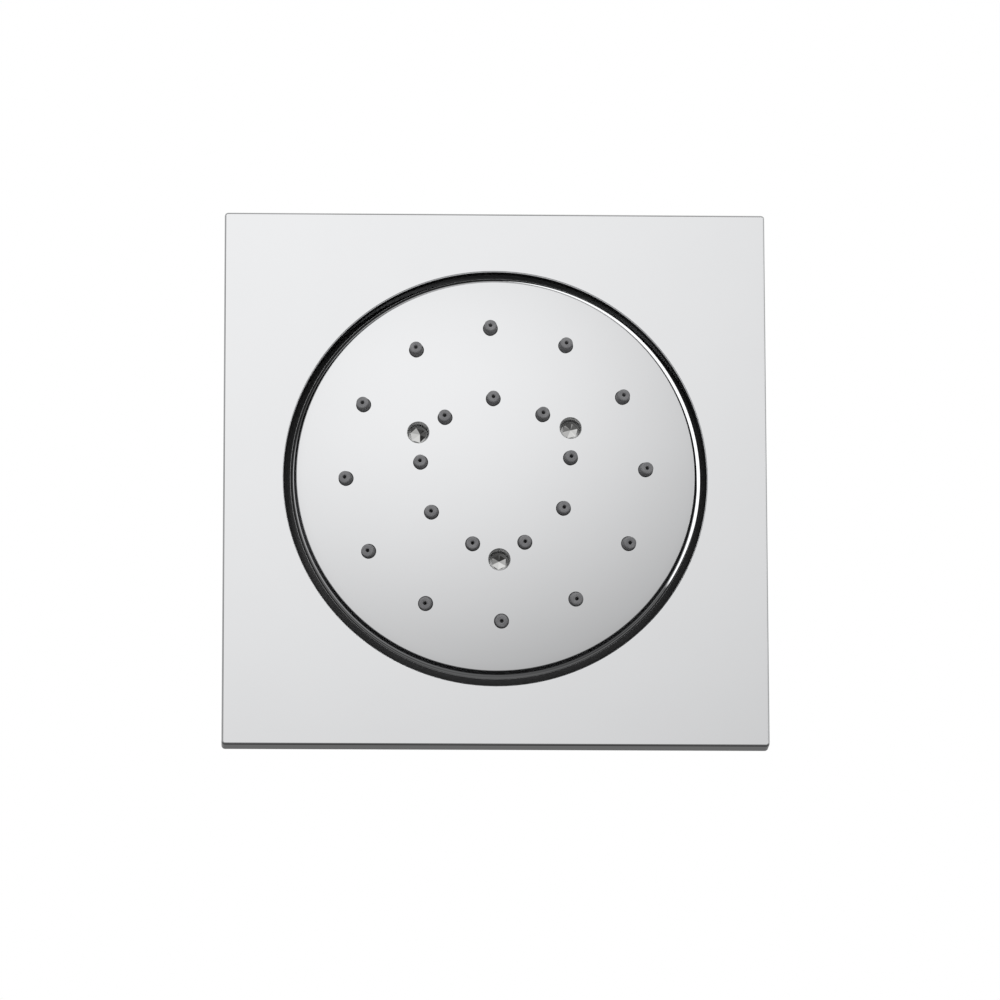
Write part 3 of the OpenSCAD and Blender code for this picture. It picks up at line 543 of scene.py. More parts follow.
# A sheet of the dome inside a rim, with loops left open: a flat triangulation of the loops and of rings of points
# between them, lifted onto the sphere
def domeSheet(rimR, loops, drop, facing, rowStep=2.6):
    a = np.linspace(0, 2 * math.pi, face["roundTall"], endpoint=False)
    rim = rimR * np.stack([np.cos(a), np.sin(a)], -1)
    loops = [np.asarray(l)[:, :2] for group in loops for l in group]
    rows = np.arange(rowStep, rimR - 0.6 * rowStep, rowStep)
    inside = [np.zeros((1, 2))]
    for k, r in enumerate(rows):
        n = max(6, int(round(2 * math.pi * r / rowStep)))
        b = np.linspace(0, 2 * math.pi, n, endpoint=False) + 0.5 * k
        inside.append(r * np.stack([np.cos(b), np.sin(b)], -1))
    inside = np.concatenate(inside)
    for l in loops:
        middle = l.mean(0)
        reach = np.linalg.norm(l - middle, axis=-1).max()
        inside = inside[np.linalg.norm(inside - middle, axis=-1) > reach + 0.45]
    flat = np.concatenate([rim, *loops, inside])
    edges, owner, start = [], [np.full(len(rim), -1)], 0
    for k, l in enumerate([rim, *loops]):
        i = np.arange(len(l))
        edges.append(np.stack([start + i, start + (i + 1) % len(l)], -1))
        start += len(l)
    owner = np.concatenate([np.full(len(l), k) for k, l in enumerate([rim, *loops])] + [np.full(len(inside), -1)])
    made = delaunay_2d_cdt([Vector(p) for p in flat.tolist()], np.concatenate(edges).tolist(), [], 0, 1e-7)
    source = np.array([ids[0] for ids in made[3]])
    faces = source[np.array(made[2])]
    o = owner[faces]
    faces = faces[~((o[:, 0] == o[:, 1]) & (o[:, 1] == o[:, 2]) & (o[:, 0] > 0))]
    points = np.column_stack([flat, domeOut(flat, drop)])
    return points, domeNormal(points, drop) * facing, faces


def makeSprayFace():
    f = face
    roundR = f["edgeR"] - f["edgeRound"]
    roundOut = domeCentre + math.sqrt((f["domeR"] - f["edgeRound"]) ** 2 - roundR ** 2)
    lean = math.degrees(math.asin(roundR / (f["domeR"] - f["edgeRound"])))
    beadOut = f["edgeOut"] - f["flareTall"]
    # lip: a shallow arc whose normal leans outward from the first angle to the last, then the small bead; above the lip
    # an upright step and a taper go up to the edge
    beadMidR, first, last = f["edgeR"] + f["flare"] - f["beadR"], *f["lipLean"]
    sinFirst, sinLast = math.sin(math.radians(first)), math.sin(math.radians(last))
    lipArc = (beadMidR + f["beadR"] * sinLast - f["lipR"]) / (sinLast - sinFirst)
    lipMid = (beadMidR - (lipArc - f["beadR"]) * sinLast,
              beadOut - (lipArc - f["beadR"]) * math.cos(math.radians(last)))
    lip = arcBit(*lipMid, lipArc, 90 - first, 90 - last, 12)
    kinks = np.array([[f["edgeR"], roundOut], [f["taperR"], f["taperOut"]], lip[0][0]])
    fall = kinks[1:] - kinks[:-1]
    sides = unit(np.stack([-fall[:, 1], fall[:, 0]], -1))
    wall = kinks[[0, 1, 1, 2]], sides[[0, 0, 1, 1]]
    edge = arcBit(roundR, roundOut, f["edgeRound"], 90 - lean, 0, 10)
    bead = arcBit(beadMidR, beadOut, f["beadR"], 90 - last, f["beadFirst"], 10)
    outer = joined(edge, wall, lip, bead)
    rimR = outer[0][0, 0]
    outer[0][0, 1] = domeOut(np.array([[rimR, 0.0]]))[0]
    underOut = domeOut(np.array([[f["innerR"], 0.0]]), f["thick"])[0]
    tail = roundedCorners([(f["innerR"], underOut, 0), (f["innerR"], f["tailOut"], 0.15), (f["tailR"], f["tailOut"], 0.3),
                           (*bead[0][-1], 0)], closed=False)
    holes = rimRings(nozzlePlaces, f["holeR"], f["holeEdge"], f["holeSteps"])
    holeBack = sphereRings(nozzlePlaces, [f["holeR"]], f["holeSteps"], f["thick"])
    holeGrid = manyGrids(np.concatenate([holes[0], holeBack[0]], 1), np.concatenate([holes[1], -holeBack[1]], 1))
    pocketRim = rimRings(screwPlaces, f["pocketR"], f["pocketEdge"], f["pocketSteps"])
    bossR = f["pocketR"] + f["pocketWall"]
    floor, back = -f["pocketDeep"], -f["pocketDeep"] - f["pocketWall"]
    well = roundedCorners([(f["pocketR"], 0, 0), (f["pocketR"], floor, f["floorRound"]), (f["screwHoleR"], floor, 0.12),
                           (f["screwHoleR"], back, 0.1), (bossR, back, 0.3), (bossR, 0, 0)], closed=False)
    well = sectionRings(screwPlaces, (well[0][1:-1], well[1][1:-1]), f["pocketSteps"])
    bossTop = sphereRings(screwPlaces, [bossR], f["pocketSteps"], f["thick"])
    pocketGrid = manyGrids(np.concatenate([pocketRim[0], well[0], bossTop[0]], 1),
                           np.concatenate([pocketRim[1], well[1], bossTop[1]], 1))
    front = domeSheet(rimR, [holes[0][:, 0], pocketRim[0][:, 0]], 0.0, 1.0)
    under = domeSheet(f["innerR"], [holeBack[0][:, 0], bossTop[0][:, 0]], f["thick"], -1.0)
    patches = [turned(outer, f["roundTall"]), turned(tail, f["roundTall"]), front, under, holeGrid, pocketGrid]
    piece = sew("spray_face_chrome", patches, "spray_head", [faceChrome, pocketChrome], [0, 0, 0, 0, 0, 1])
    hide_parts("spray_face")
    return piece


pocketChrome = satinChrome("pocketChrome")
sprayFace = makeSprayFace()
print("spray face made")


# Nozzle mat: one rubber sheet behind the face, with a nozzle moulded on it for each hole

mat = {"r": 44.1, "frontDrop": 1.6, "backDrop": 2.8, "footR": 1.54, "tipR": 1.43, "tall": 1.9, "footRound": 0.25,
       "tipRound": 0.4, "jetR": 0.38, "jetRound": 0.3, "jetTall": 1.0, "boreR": 0.85, "bossHoleR": 3.5,
       "nozzleSteps": 40, "bossSteps": 64}


def makeNozzleMat():
    m = mat
    foot = sphereRings(nozzlePlaces, [m["footR"]], m["nozzleSteps"], m["frontDrop"])
    section = roundedCorners([(m["footR"], -1, 0), (m["footR"], 0, m["footRound"]), (m["tipR"], m["tall"], m["tipRound"]),
                              (m["jetR"], m["tall"], m["jetRound"]), (m["jetR"], m["tall"] - m["jetTall"], 0.05),
                              (m["boreR"], m["tall"] - m["jetTall"], 0.1), (m["boreR"], -1, 0)], closed=False)
    shaft = sectionRings(nozzlePlaces, (section[0][1:-1], section[1][1:-1]), m["nozzleSteps"])
    inlet = sphereRings(nozzlePlaces, [m["boreR"]], m["nozzleSteps"], m["backDrop"])
    nozzles = manyGrids(np.concatenate([foot[0], shaft[0], inlet[0]], 1),
                        np.concatenate([foot[1], shaft[1], -inlet[1]], 1))
    bossFront = sphereRings(screwPlaces, [m["bossHoleR"]], m["bossSteps"], m["frontDrop"])
    bossBack = sphereRings(screwPlaces, [m["bossHoleR"]], m["bossSteps"], m["backDrop"])
    bossHoles = manyGrids(np.concatenate([bossFront[0], bossBack[0]], 1),
                          -np.concatenate([bossFront[1], bossBack[1]], 1))
    front = domeSheet(m["r"], [foot[0][:, 0], bossFront[0][:, 0]], m["frontDrop"], 1.0)
    back = domeSheet(m["r"], [inlet[0][:, 0], bossBack[0][:, 0]], m["backDrop"], -1.0)
    ends = [domeOut(np.array([[m["r"], 0.0]]), m[k])[0] for k in ("backDrop", "frontDrop")]
    rim = turned((np.array([[m["r"], ends[0]], [m["r"], ends[1]]]), np.array([[1.0, 0], [1, 0]])), face["roundTall"])
    piece = sew("nozzle_mat_silicone", [front, back, rim, nozzles, bossHoles], "spray_head", [finishes["silicone"]])
    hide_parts("nozzle_mat")


makeNozzleMat()
print("nozzles made")


# Face screws: low domed heads with a hexagon socket, seated on the floors of the pockets

screw = {"headR": 2.2, "headTall": 0.85, "domeR": 8.0, "rimRound": 0.25, "socketWide": 3.1, "socketDeep": 0.6,
         "socketPoint": 0.31, "points": ((0.12, 0.28), (0.5, 0.3), (0.0, 0.22)), "turns": (12.0, 41.0, 25.0), "shankR": 1.45, "long": 6.4, "pitch": 0.5, "threadDeep": 0.28,
         "steps": 48}


# Hexagon as a radius: half its width over the cosine of the angle to the nearest flat's middle
def hexagonRadius(angle, wide):
    return wide / 2 / np.cos((angle + math.pi / 6) % (math.pi / 3) - math.pi / 6)


# Points of a local grid: origin + rho (u cos f + v sin f) + t axis, for arrays rho and t of (row, step)
def localGrid(place, rho, t, f):
    radial = place["u"] * np.cos(f)[..., None] + place["v"] * np.sin(f)[..., None]
    return place["origin"] + np.asarray(rho)[..., None] * radial + np.asarray(t)[..., None] * place["axis"]


# Normals of a grid from the differences of its neighbours, across rows and round the columns
def gridNormals(points, closed=True, side=1.0):
    down = np.gradient(points, axis=0)
    if closed:
        round_ = np.roll(points, -1, 1) - np.roll(points, 1, 1)
    else:
        round_ = np.gradient(points, axis=1)
    return unit(np.cross(down, round_)) * side


# Screw thread between two heights: radius = base + deep * triangle(height / pitch - angle / full turn), fading out at
# both ends over a pitch
def threadRadius(t, f, base, deep, pitch, low, high):
    phase = (t / pitch - f / (2 * math.pi)) % 1.0
    ridge = np.clip(1.25 - 2.5 * np.abs(phase - 0.5) * 2, 0, 1)
    fade = np.clip(np.minimum(t - low, high - t) / pitch, 0, 1)
    return base + deep * ridge * fade


def makeFaceScrews():
    c, steps = screw, screw["steps"]
    f = np.linspace(0, 2 * math.pi, steps, endpoint=False)
    patches, marks = [], []
    seat = -face["pocketDeep"]
    top = seat + c["headTall"]
    for number, turn in enumerate(c["turns"]):
        place = {k: v[number] for k, v in screwPlaces.items()}
        a = f + math.radians(turn)
        socket = hexagonRadius(f, c["socketWide"])
        rows = np.concatenate([[0.0], np.linspace(0.12, 1, 8)])
        domeEdge = c["headR"] - c["rimRound"]
        rho = socket[None] + (domeEdge - socket[None]) * rows[:, None]
        t = top - (c["domeR"] - np.sqrt(c["domeR"] ** 2 - rho ** 2))
        radial = place["u"] * np.cos(a)[:, None] + place["v"] * np.sin(a)[:, None]
        up = np.broadcast_to(place["axis"], radial.shape)
        slope = (rho / c["domeR"])[..., None]
        patches.append(gridPatch(localGrid(place, rho, t, np.broadcast_to(a, rho.shape)),
                                 slope * radial + np.sqrt(1 - slope ** 2) * up))
        marks.append(0)
        edgeT = t[-1, 0]
        side = roundedCorners([(domeEdge - 1, edgeT + 0.2, 0), (c["headR"], edgeT - 0.05, c["rimRound"]),
                               (c["headR"], seat, 0.08), (c["shankR"], seat, 0.05), (c["shankR"], seat - 0.3, 0)],
                              5, closed=False)
        keep = slice(1, -1)
        p = np.concatenate([[[domeEdge, edgeT]], side[0][keep][side[0][keep][:, 0] > 0][1:]])
        n = -side[1][keep]
        patches.append(gridPatch(localGrid(place, np.repeat(p[:, :1], steps, 1), np.repeat(p[:, 1:], steps, 1),
                                           np.broadcast_to(a, (len(p), steps))),
                                 n[:, :1, None] * radial + n[:, 1:, None] * up))
        marks.append(0)
        low, high = seat - c["long"], p[-1, 1]
        t = np.linspace(high, low, int((high - low) / c["pitch"] * 8))[:, None]
        rho = threadRadius(t, a[None], c["shankR"] - c["threadDeep"], c["threadDeep"], c["pitch"], low, high - 0.3)
        rho[0] = c["shankR"]
        points = localGrid(place, rho, np.broadcast_to(t, rho.shape), np.broadcast_to(a, rho.shape))
        patches.append(gridPatch(points, gridNormals(points)))
        marks.append(0)
        tip = np.stack([rho[-1], 0 * rho[-1]])
        points = localGrid(place, tip, np.full(tip.shape, low), np.broadcast_to(a, tip.shape))
        patches.append(gridPatch(points, np.broadcast_to(-place["axis"], points.shape)))
        marks.append(0)
        for flat in range(6):
            b = np.linspace(-math.pi / 6, math.pi / 6, steps // 6 + 1) + flat * math.pi / 3
            rho = np.repeat(hexagonRadius(b, c["socketWide"])[None], 2, 0)
            t = np.stack([top - (c["domeR"] - np.sqrt(c["domeR"] ** 2 - rho[0] ** 2)),
                          np.full(len(b), top - c["socketDeep"])])
            points = localGrid(place, rho, t, np.broadcast_to(b + math.radians(turn), rho.shape))
            middle = flat * math.pi / 3 + math.radians(turn)
            inward = -(place["u"] * math.cos(middle) + place["v"] * math.sin(middle))
            patches.append(gridPatch(points, np.broadcast_to(inward, points.shape), closeCols=False))
            marks.append(1)
        rho = np.stack([socket, 0.0 * socket])
        t = np.stack([np.full(steps, top - c["socketDeep"]), np.full(steps, top - c["socketDeep"] - c["socketPoint"])])
        points = localGrid(place, rho, t, np.broadcast_to(a, rho.shape))
        points[1] += [*c["points"][number], 0.0]
        facing = gridNormals(points)[:1]
        facing = facing * np.sign((facing * place["axis"]).sum(-1, keepdims=True))
        patches.append(gridPatch(points, np.broadcast_to(facing, points.shape)))
        marks.append(1)
    piece = sew("face_screws_socket", patches, "spray_head", [screwSteel, socketSteel], marks)
    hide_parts("face_screws")


screwSteel = polishedChrome("screwSteel", (0.72, 0.72, 0.71), peel=0.05, seed=0.71)
socketSteel = polishedChrome("socketSteel", (0.74, 0.74, 0.73), peel=0.1, seed=0.53)
makeFaceScrews()
print("face screws made")


# Housing: square flange with a round bowl behind it, moulded in one piece

housing = {"half": 58.5, "flangeT": 1.8, "cornerR": 3.0, "edgeR": 0.3, "innerR": 53.52, "wideEnd": -20.2,
           "coneEnd": -28.2, "rearR": 30.0, "wall": 2.0, "floor": -43.85, "back": -46.85, "holeR": 13.2,
           "screwAt": 50.5, "screwR": 2.2, "stakeAt": 56.4, "stakeR": 0.8, "stakeGap": 3.5, "stakeTop": 2.7,
           "ribs": 12, "ribT": 1.6, "ribR": 46.0, "ribBack": -38.0, "round": 192}


# Flat sheet inside an outer loop, with loops left open
def flatSheet(outer, loops, out, facing):
    loops = [np.asarray(l)[:, :2] for l in (outer, *loops)]
    sizes = np.array([len(l) for l in loops])
    starts = np.cumsum(sizes) - sizes
    edges = np.concatenate([np.stack([np.arange(n), (np.arange(n) + 1) % n], -1) + k for n, k in zip(sizes, starts)])
    flat = np.concatenate(loops)
    made = delaunay_2d_cdt([Vector(p) for p in flat.tolist()], edges.tolist(), [], 0, 1e-7)
    source = np.array([ids[0] for ids in made[3]])
    faces = source[np.array(made[2])]
    owner = np.repeat(np.arange(len(loops)), sizes)[faces]
    inside = (owner[:, 0] == owner[:, 1]) & (owner[:, 1] == owner[:, 2])
    middle = flat[faces].mean(1)
    outsideCorner = inside & (owner[:, 0] == 0) & ~within(middle, loops[0])
    faces = faces[~(inside & (owner[:, 0] > 0)) & ~outsideCorner]
    points = np.column_stack([flat, np.full(len(flat), out)])
    return points, np.broadcast_to(np.array([0.0, 0.0, facing]), points.shape).copy(), faces


# Whether points lie within a convex loop: on the left of each of its edges
def within(points, loop):
    edge = np.roll(loop, -1, 0) - loop
    away = points[:, None] - loop[None]
    return (edge[None, :, 0] * away[..., 1] - edge[None, :, 1] * away[..., 0] > -1e-9).all(1)


# Upright places on the wall's plane
def uprightPlaces(flat, out=0.0):
    flat = np.asarray(flat, float)
    one = np.ones((len(flat), 1))
    return {"origin": np.column_stack([flat, np.full(len(flat), out)]), "axis": one * [0.0, 0.0, 1.0],
            "u": one * [1.0, 0.0, 0.0], "v": one * [0.0, 1.0, 0.0]}


def makeHousing():
    h = housing
    outerR, back, top = h["innerR"] + h["wall"], h["back"], h["flangeT"]
    bowl = roundedCorners([(h["innerR"] + 2, top, 0), (h["innerR"], top, 0.5), (h["innerR"], h["wideEnd"], 3.0),
                           (h["rearR"], h["coneEnd"], 2.0), (h["rearR"], h["floor"], 1.5), (h["holeR"], h["floor"], 0.2),
                           (h["holeR"], back, 0.3), (h["rearR"] + h["wall"], back, 1.4),
                           (h["rearR"] + h["wall"], h["coneEnd"] - h["wall"], 1.5), (outerR, h["wideEnd"] - h["wall"], 2.2),
                           (outerR, 0, 0.5), (outerR + 2, 0, 0)], 6, closed=False)
    bowl = bowl[0][1:-1], bowl[1][1:-1]
    edge = roundedCorners([(h["half"] - 2, 0, 0), (h["half"], 0, h["edgeR"]), (h["half"], top, h["edgeR"]),
                           (h["half"] - 2, top, 0)], 4, closed=False)
    rings, normals = [], []
    for (reach, out), (nr, nz) in zip(edge[0][1:-1], edge[1][1:-1]):
        flat, flatNormal = squareRing(reach, h["cornerR"] - h["half"] + reach)
        rings.append(np.column_stack([flat, np.full(len(flat), out)]))
        normals.append(np.column_stack([flatNormal * nr, np.full(len(flat), nz)]))
    corners = [(x * h["screwAt"], y * h["screwAt"]) for x in (-1, 1) for y in (-1, 1)]
    hole = roundedCorners([(h["screwR"] + 2, top, 0), (h["screwR"], top, 0.3), (h["screwR"], 0, 0.3),
                           (h["screwR"] + 2, 0, 0)], 4, closed=False)
    holes = sectionRings(uprightPlaces(corners), (hole[0][1:-1], hole[1][1:-1]), 40)
    bowlGrid = turned(bowl, h["round"])
    front = flatSheet(rings[-1], [*holes[0][:, 0], bowlGrid[0][:h["round"]]], top, 1.0)
    rear = flatSheet(rings[0], [*holes[0][:, -1], bowlGrid[0][-h["round"]:]], 0.0, -1.0)
    patches = [bowlGrid, gridPatch(np.array(rings), np.array(normals)), manyGrids(*holes), front, rear]
    # gussets behind the cone, their backs sloping from the rear part to the shoulder
    coneOut = np.interp(h["ribR"], [h["rearR"] + h["wall"], outerR], [h["coneEnd"] - h["wall"], h["wideEnd"] - h["wall"]])
    rearR = h["rearR"] + h["wall"] - 0.6
    rib = roundedCorners([(rearR, h["ribBack"], 0.3), (h["ribR"], coneOut - 0.8, 1.0), (h["ribR"], coneOut + 0.8, 0.1),
                          (rearR, h["coneEnd"] - h["wall"] + 0.8, 0.1)], 4)
    for k in range(h["ribs"]):
        a = 2 * math.pi * (k + 0.5) / h["ribs"]
        patches += bar(rib, (0, 0, 0), (math.cos(a), math.sin(a), 0), (0, 0, 1), (-math.sin(a), math.cos(a), 0), h["ribT"])
    # heads that rivet the springs down
    spots = [h["stakeAt"] * outward + (plate["catchAt"] + shift) * along for outward, along in quarterTurns()
             for shift in (-h["stakeGap"], h["stakeGap"])]
    stake = roundedCorners([(h["stakeR"], top - 0.1, 0), (h["stakeR"], h["stakeTop"], 0.35), (0, h["stakeTop"], 0)], 4,
                           closed=False)
    stake = (np.vstack([[0, top - 0.1], [h["stakeR"], top - 0.1], stake[0]]),
             np.vstack([[0, -1.0], [0, -1.0], stake[1]]))
    patches.append(manyGrids(*sectionRings(uprightPlaces(np.array(spots)[:, :2]), stake, 24)))
    piece = sew("housing_moulded", patches, "wall_unit", [finishes["housing_plastic"]])
    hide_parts("housing")


makeHousing()
print("housing made")


# Inlet body: hexagon with a turned chamfer on a barrel, with the G 1/2 thread cut inside it

inlet = {"hexWide": 36.0, "hexFront": -48.05, "hexTall": 5.0, "chamferR": 17.3, "chamferLean": 30.0, "shankR": 13.0,
         "front": -40.05, "barrelR": 13.5, "mouth": -66.4, "threadR": 9.3, "threadDeep": 1.16, "pitch": 1.814,
         "screenFront": -52.4, "screenT": 1.0, "seatR": 8.9, "boreR": 8.35, "sealR": 10.4, "sealSeat": 2.05,
         "mouthChamfer": 1.4, "round": 96, "threadRows": 100}


# Thread cut outward: radius = base + deep * (ridge of the height's share of the pitch, less the share of a turn)
def makeInletBody():
    b, count = inlet, inlet["round"]
    a = np.linspace(0, 2 * math.pi, count, endpoint=False)
    around = np.stack([np.cos(a), np.sin(a), 0 * a], -1)
    back = b["hexFront"] - b["hexTall"]
    threadEnd = b["screenFront"] - b["screenT"]

    def ring(radius, out):
        return around * np.asarray(radius, float).reshape(-1, 1) + np.array([0, 0, 1.0]) * np.asarray(out, float).reshape(-1, 1)

    hexR = hexagonRadius(a - math.pi / 6, b["hexWide"])
    flatFacing = np.round((a - math.pi / 6) / (math.pi / 3)) * math.pi / 3 + math.pi / 6
    slope = math.radians(b["chamferLean"])
    chamferOut = back + (hexR - b["chamferR"]) * math.tan(slope)
    coneNormal = around * math.sin(slope) - np.array([0, 0, math.cos(slope)])
    down, up = np.array([0, 0, -1.0]), np.array([0, 0, 1.0])
    even = np.ones((2, count, 3))
    patches = [gridPatch(np.stack([ring(b["shankR"], np.full(count, b["hexFront"])), ring(hexR, np.full(count, b["hexFront"]))]),
                         even * up),
               gridPatch(np.stack([ring(hexR, chamferOut), ring(b["chamferR"], np.full(count, back))]), even * coneNormal),
               gridPatch(np.stack([ring(b["chamferR"], np.full(count, back)), ring(b["barrelR"] + 0.5, np.full(count, back))]),
                         even * down)]
    for flat in range(6):
        middle = math.pi / 6 + flat * math.pi / 3
        mine = (np.arange(count // 6 + 1) + flat * count // 6) % count
        points = np.stack([ring(hexR, np.full(count, b["hexFront"]))[mine], ring(hexR, chamferOut)[mine]])
        facing = np.array([math.cos(middle), math.sin(middle), 0])
        patches.append(gridPatch(points, np.broadcast_to(facing, points.shape), closeCols=False))
    mouthR = b["threadR"] + b["mouthChamfer"]
    barrel = roundedCorners([(b["barrelR"] + 2, back, 0), (b["barrelR"], back, 0.5), (b["barrelR"], b["mouth"], 0.5),
                             (mouthR, b["mouth"], 0)], 5, closed=False)
    turns = [(barrel[0][1:], -barrel[1][1:])]
    inner = roundedCorners([(b["threadR"], threadEnd, 0), (b["seatR"], threadEnd, 0.05), (b["seatR"], b["screenFront"], 0.05),
                            (b["boreR"], b["screenFront"], 0.05), (b["boreR"], b["front"] - b["sealSeat"], 0.05),
                            (b["sealR"], b["front"] - b["sealSeat"], 0.05), (b["sealR"], b["front"], 0.2),
                            (b["shankR"], b["front"], 0.8), (b["shankR"], b["hexFront"], 0)], 4, closed=False)
    turns.append((inner[0], -inner[1]))
    patches += [turned(section, count) for section in turns]
    t = np.linspace(b["mouth"], threadEnd, b["threadRows"])[:, None]
    phase = ((t - b["mouth"]) / b["pitch"] - a[None] / (2 * math.pi)) % 1.0
    ridge = np.clip(1.2 - 2.4 * np.abs(phase - 0.5) * 2 * 0.9, 0, 1)
    fade = np.clip((threadEnd - t) / b["pitch"], 0, 1)
    rho = np.maximum(b["threadR"] + b["threadDeep"] * ridge * fade, mouthR - (t - b["mouth"]))
    rho[0], rho[-1] = mouthR, b["threadR"]
    points = np.stack([rho * np.cos(a), rho * np.sin(a), np.broadcast_to(t, rho.shape)], -1)
    patches.append(gridPatch(points, gridNormals(points)))
    piece = sew("inlet_body_threaded", patches, "wall_unit", [finishes["brass"]])
    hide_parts("inlet_body")


makeInletBody()
print("inlet body made")


# Camera: the photograph's place, from below and a little left, and the light around the part

view = {"azimuth": 1.95, "elevation": -12.6, "distance": 1.645, "focal": 7165.0, "roll": -0.14,
        "target": (0.0, -0.006, 0.0), "targetAt": (495.45, 477.4), "imageSize": 1000.0, "sensor": 36.0}


# Line of sight, from the camera to the part
def viewDirection():
    a, e = math.radians(view["azimuth"]), math.radians(view["elevation"])
    return Vector((math.sin(a) * math.cos(e), math.cos(a) * math.cos(e), -math.sin(e)))


def makeCamera():
    v = view
    back = -viewDirection()
    place = Vector(v["target"]) + back * v["distance"]
    quaternion = (-back).to_track_quat("-Z", "Y")
    right, up = quaternion @ Vector((1, 0, 0)), quaternion @ Vector((0, 1, 0))
    middle = v["imageSize"] / 2
    dx, dy = (v["targetAt"][0] - middle) / v["focal"], (middle - v["targetAt"][1]) / v["focal"]
    aim = Vector(v["target"]) - right * dx * v["distance"] - up * dy * v["distance"]
    turn = (aim - place).to_track_quat("-Z", "Y") @ Matrix.Rotation(math.radians(v["roll"]), 3, "Z").to_quaternion()
    data = bpy.data.cameras.new("photoCamera")
    data.sensor_width, data.lens = v["sensor"], v["focal"] / v["imageSize"] * v["sensor"]
    data.clip_start, data.clip_end = 0.1, 30
    camera = bpy.data.objects.new("photoCamera", data)
    camera.rotation_mode = "QUATERNION"
    camera.location, camera.rotation_quaternion = place, turn
    bpy.context.scene.collection.objects.link(camera)
    bpy.context.scene.camera = camera


makeCamera()

studio = {"tentRadius": 0.6, "panelHigh": 1.591, "panelLow": -0.619, "panelX": -0.073, "panelZ": 0.252,
          "panelWide": 0.719, "panelTall": 0.594, "panelTurn": 0.255, "panelEnd": (9.5, 13.5),
          "ring": 0.02, "ringEnd": (21.5, 25.0), "lineLevel": 0.13, "lineLean": 17.0, "lineDrop": 2.5, "lineReach": 0.8,
          "midLow": 0.12, "midHigh": 0.5, "midTilt": 0.1, "midEnd": (36.0, 43.0),
          "lowLevel": 0.1, "lowReach": 7.0, "outer": 0.05, "outerTop": 0.65, "outerRight": 0.25, "outerLeft": 0.12,
          "rearLow": 0.04, "rearHigh": 0.42,
          "rearBoxes": (((-0.55, 0.62, 0.56), 0.9, 0.8, 0.75), ((0.79, 0.6, 0.1), 0.96, 0.88, 0.6)), "stripLean": 18.0, "stripReach": 4.0, "stripFirst": -33.0, "stripFull": 0.0,
          "stripNarrow": 25.0, "stripLast": 88.0, "stripLevel": 1.3,
          "worldUp": 0.8, "worldDown": 0.12, "floorZ": -0.6, "floorRadius": 6.0}


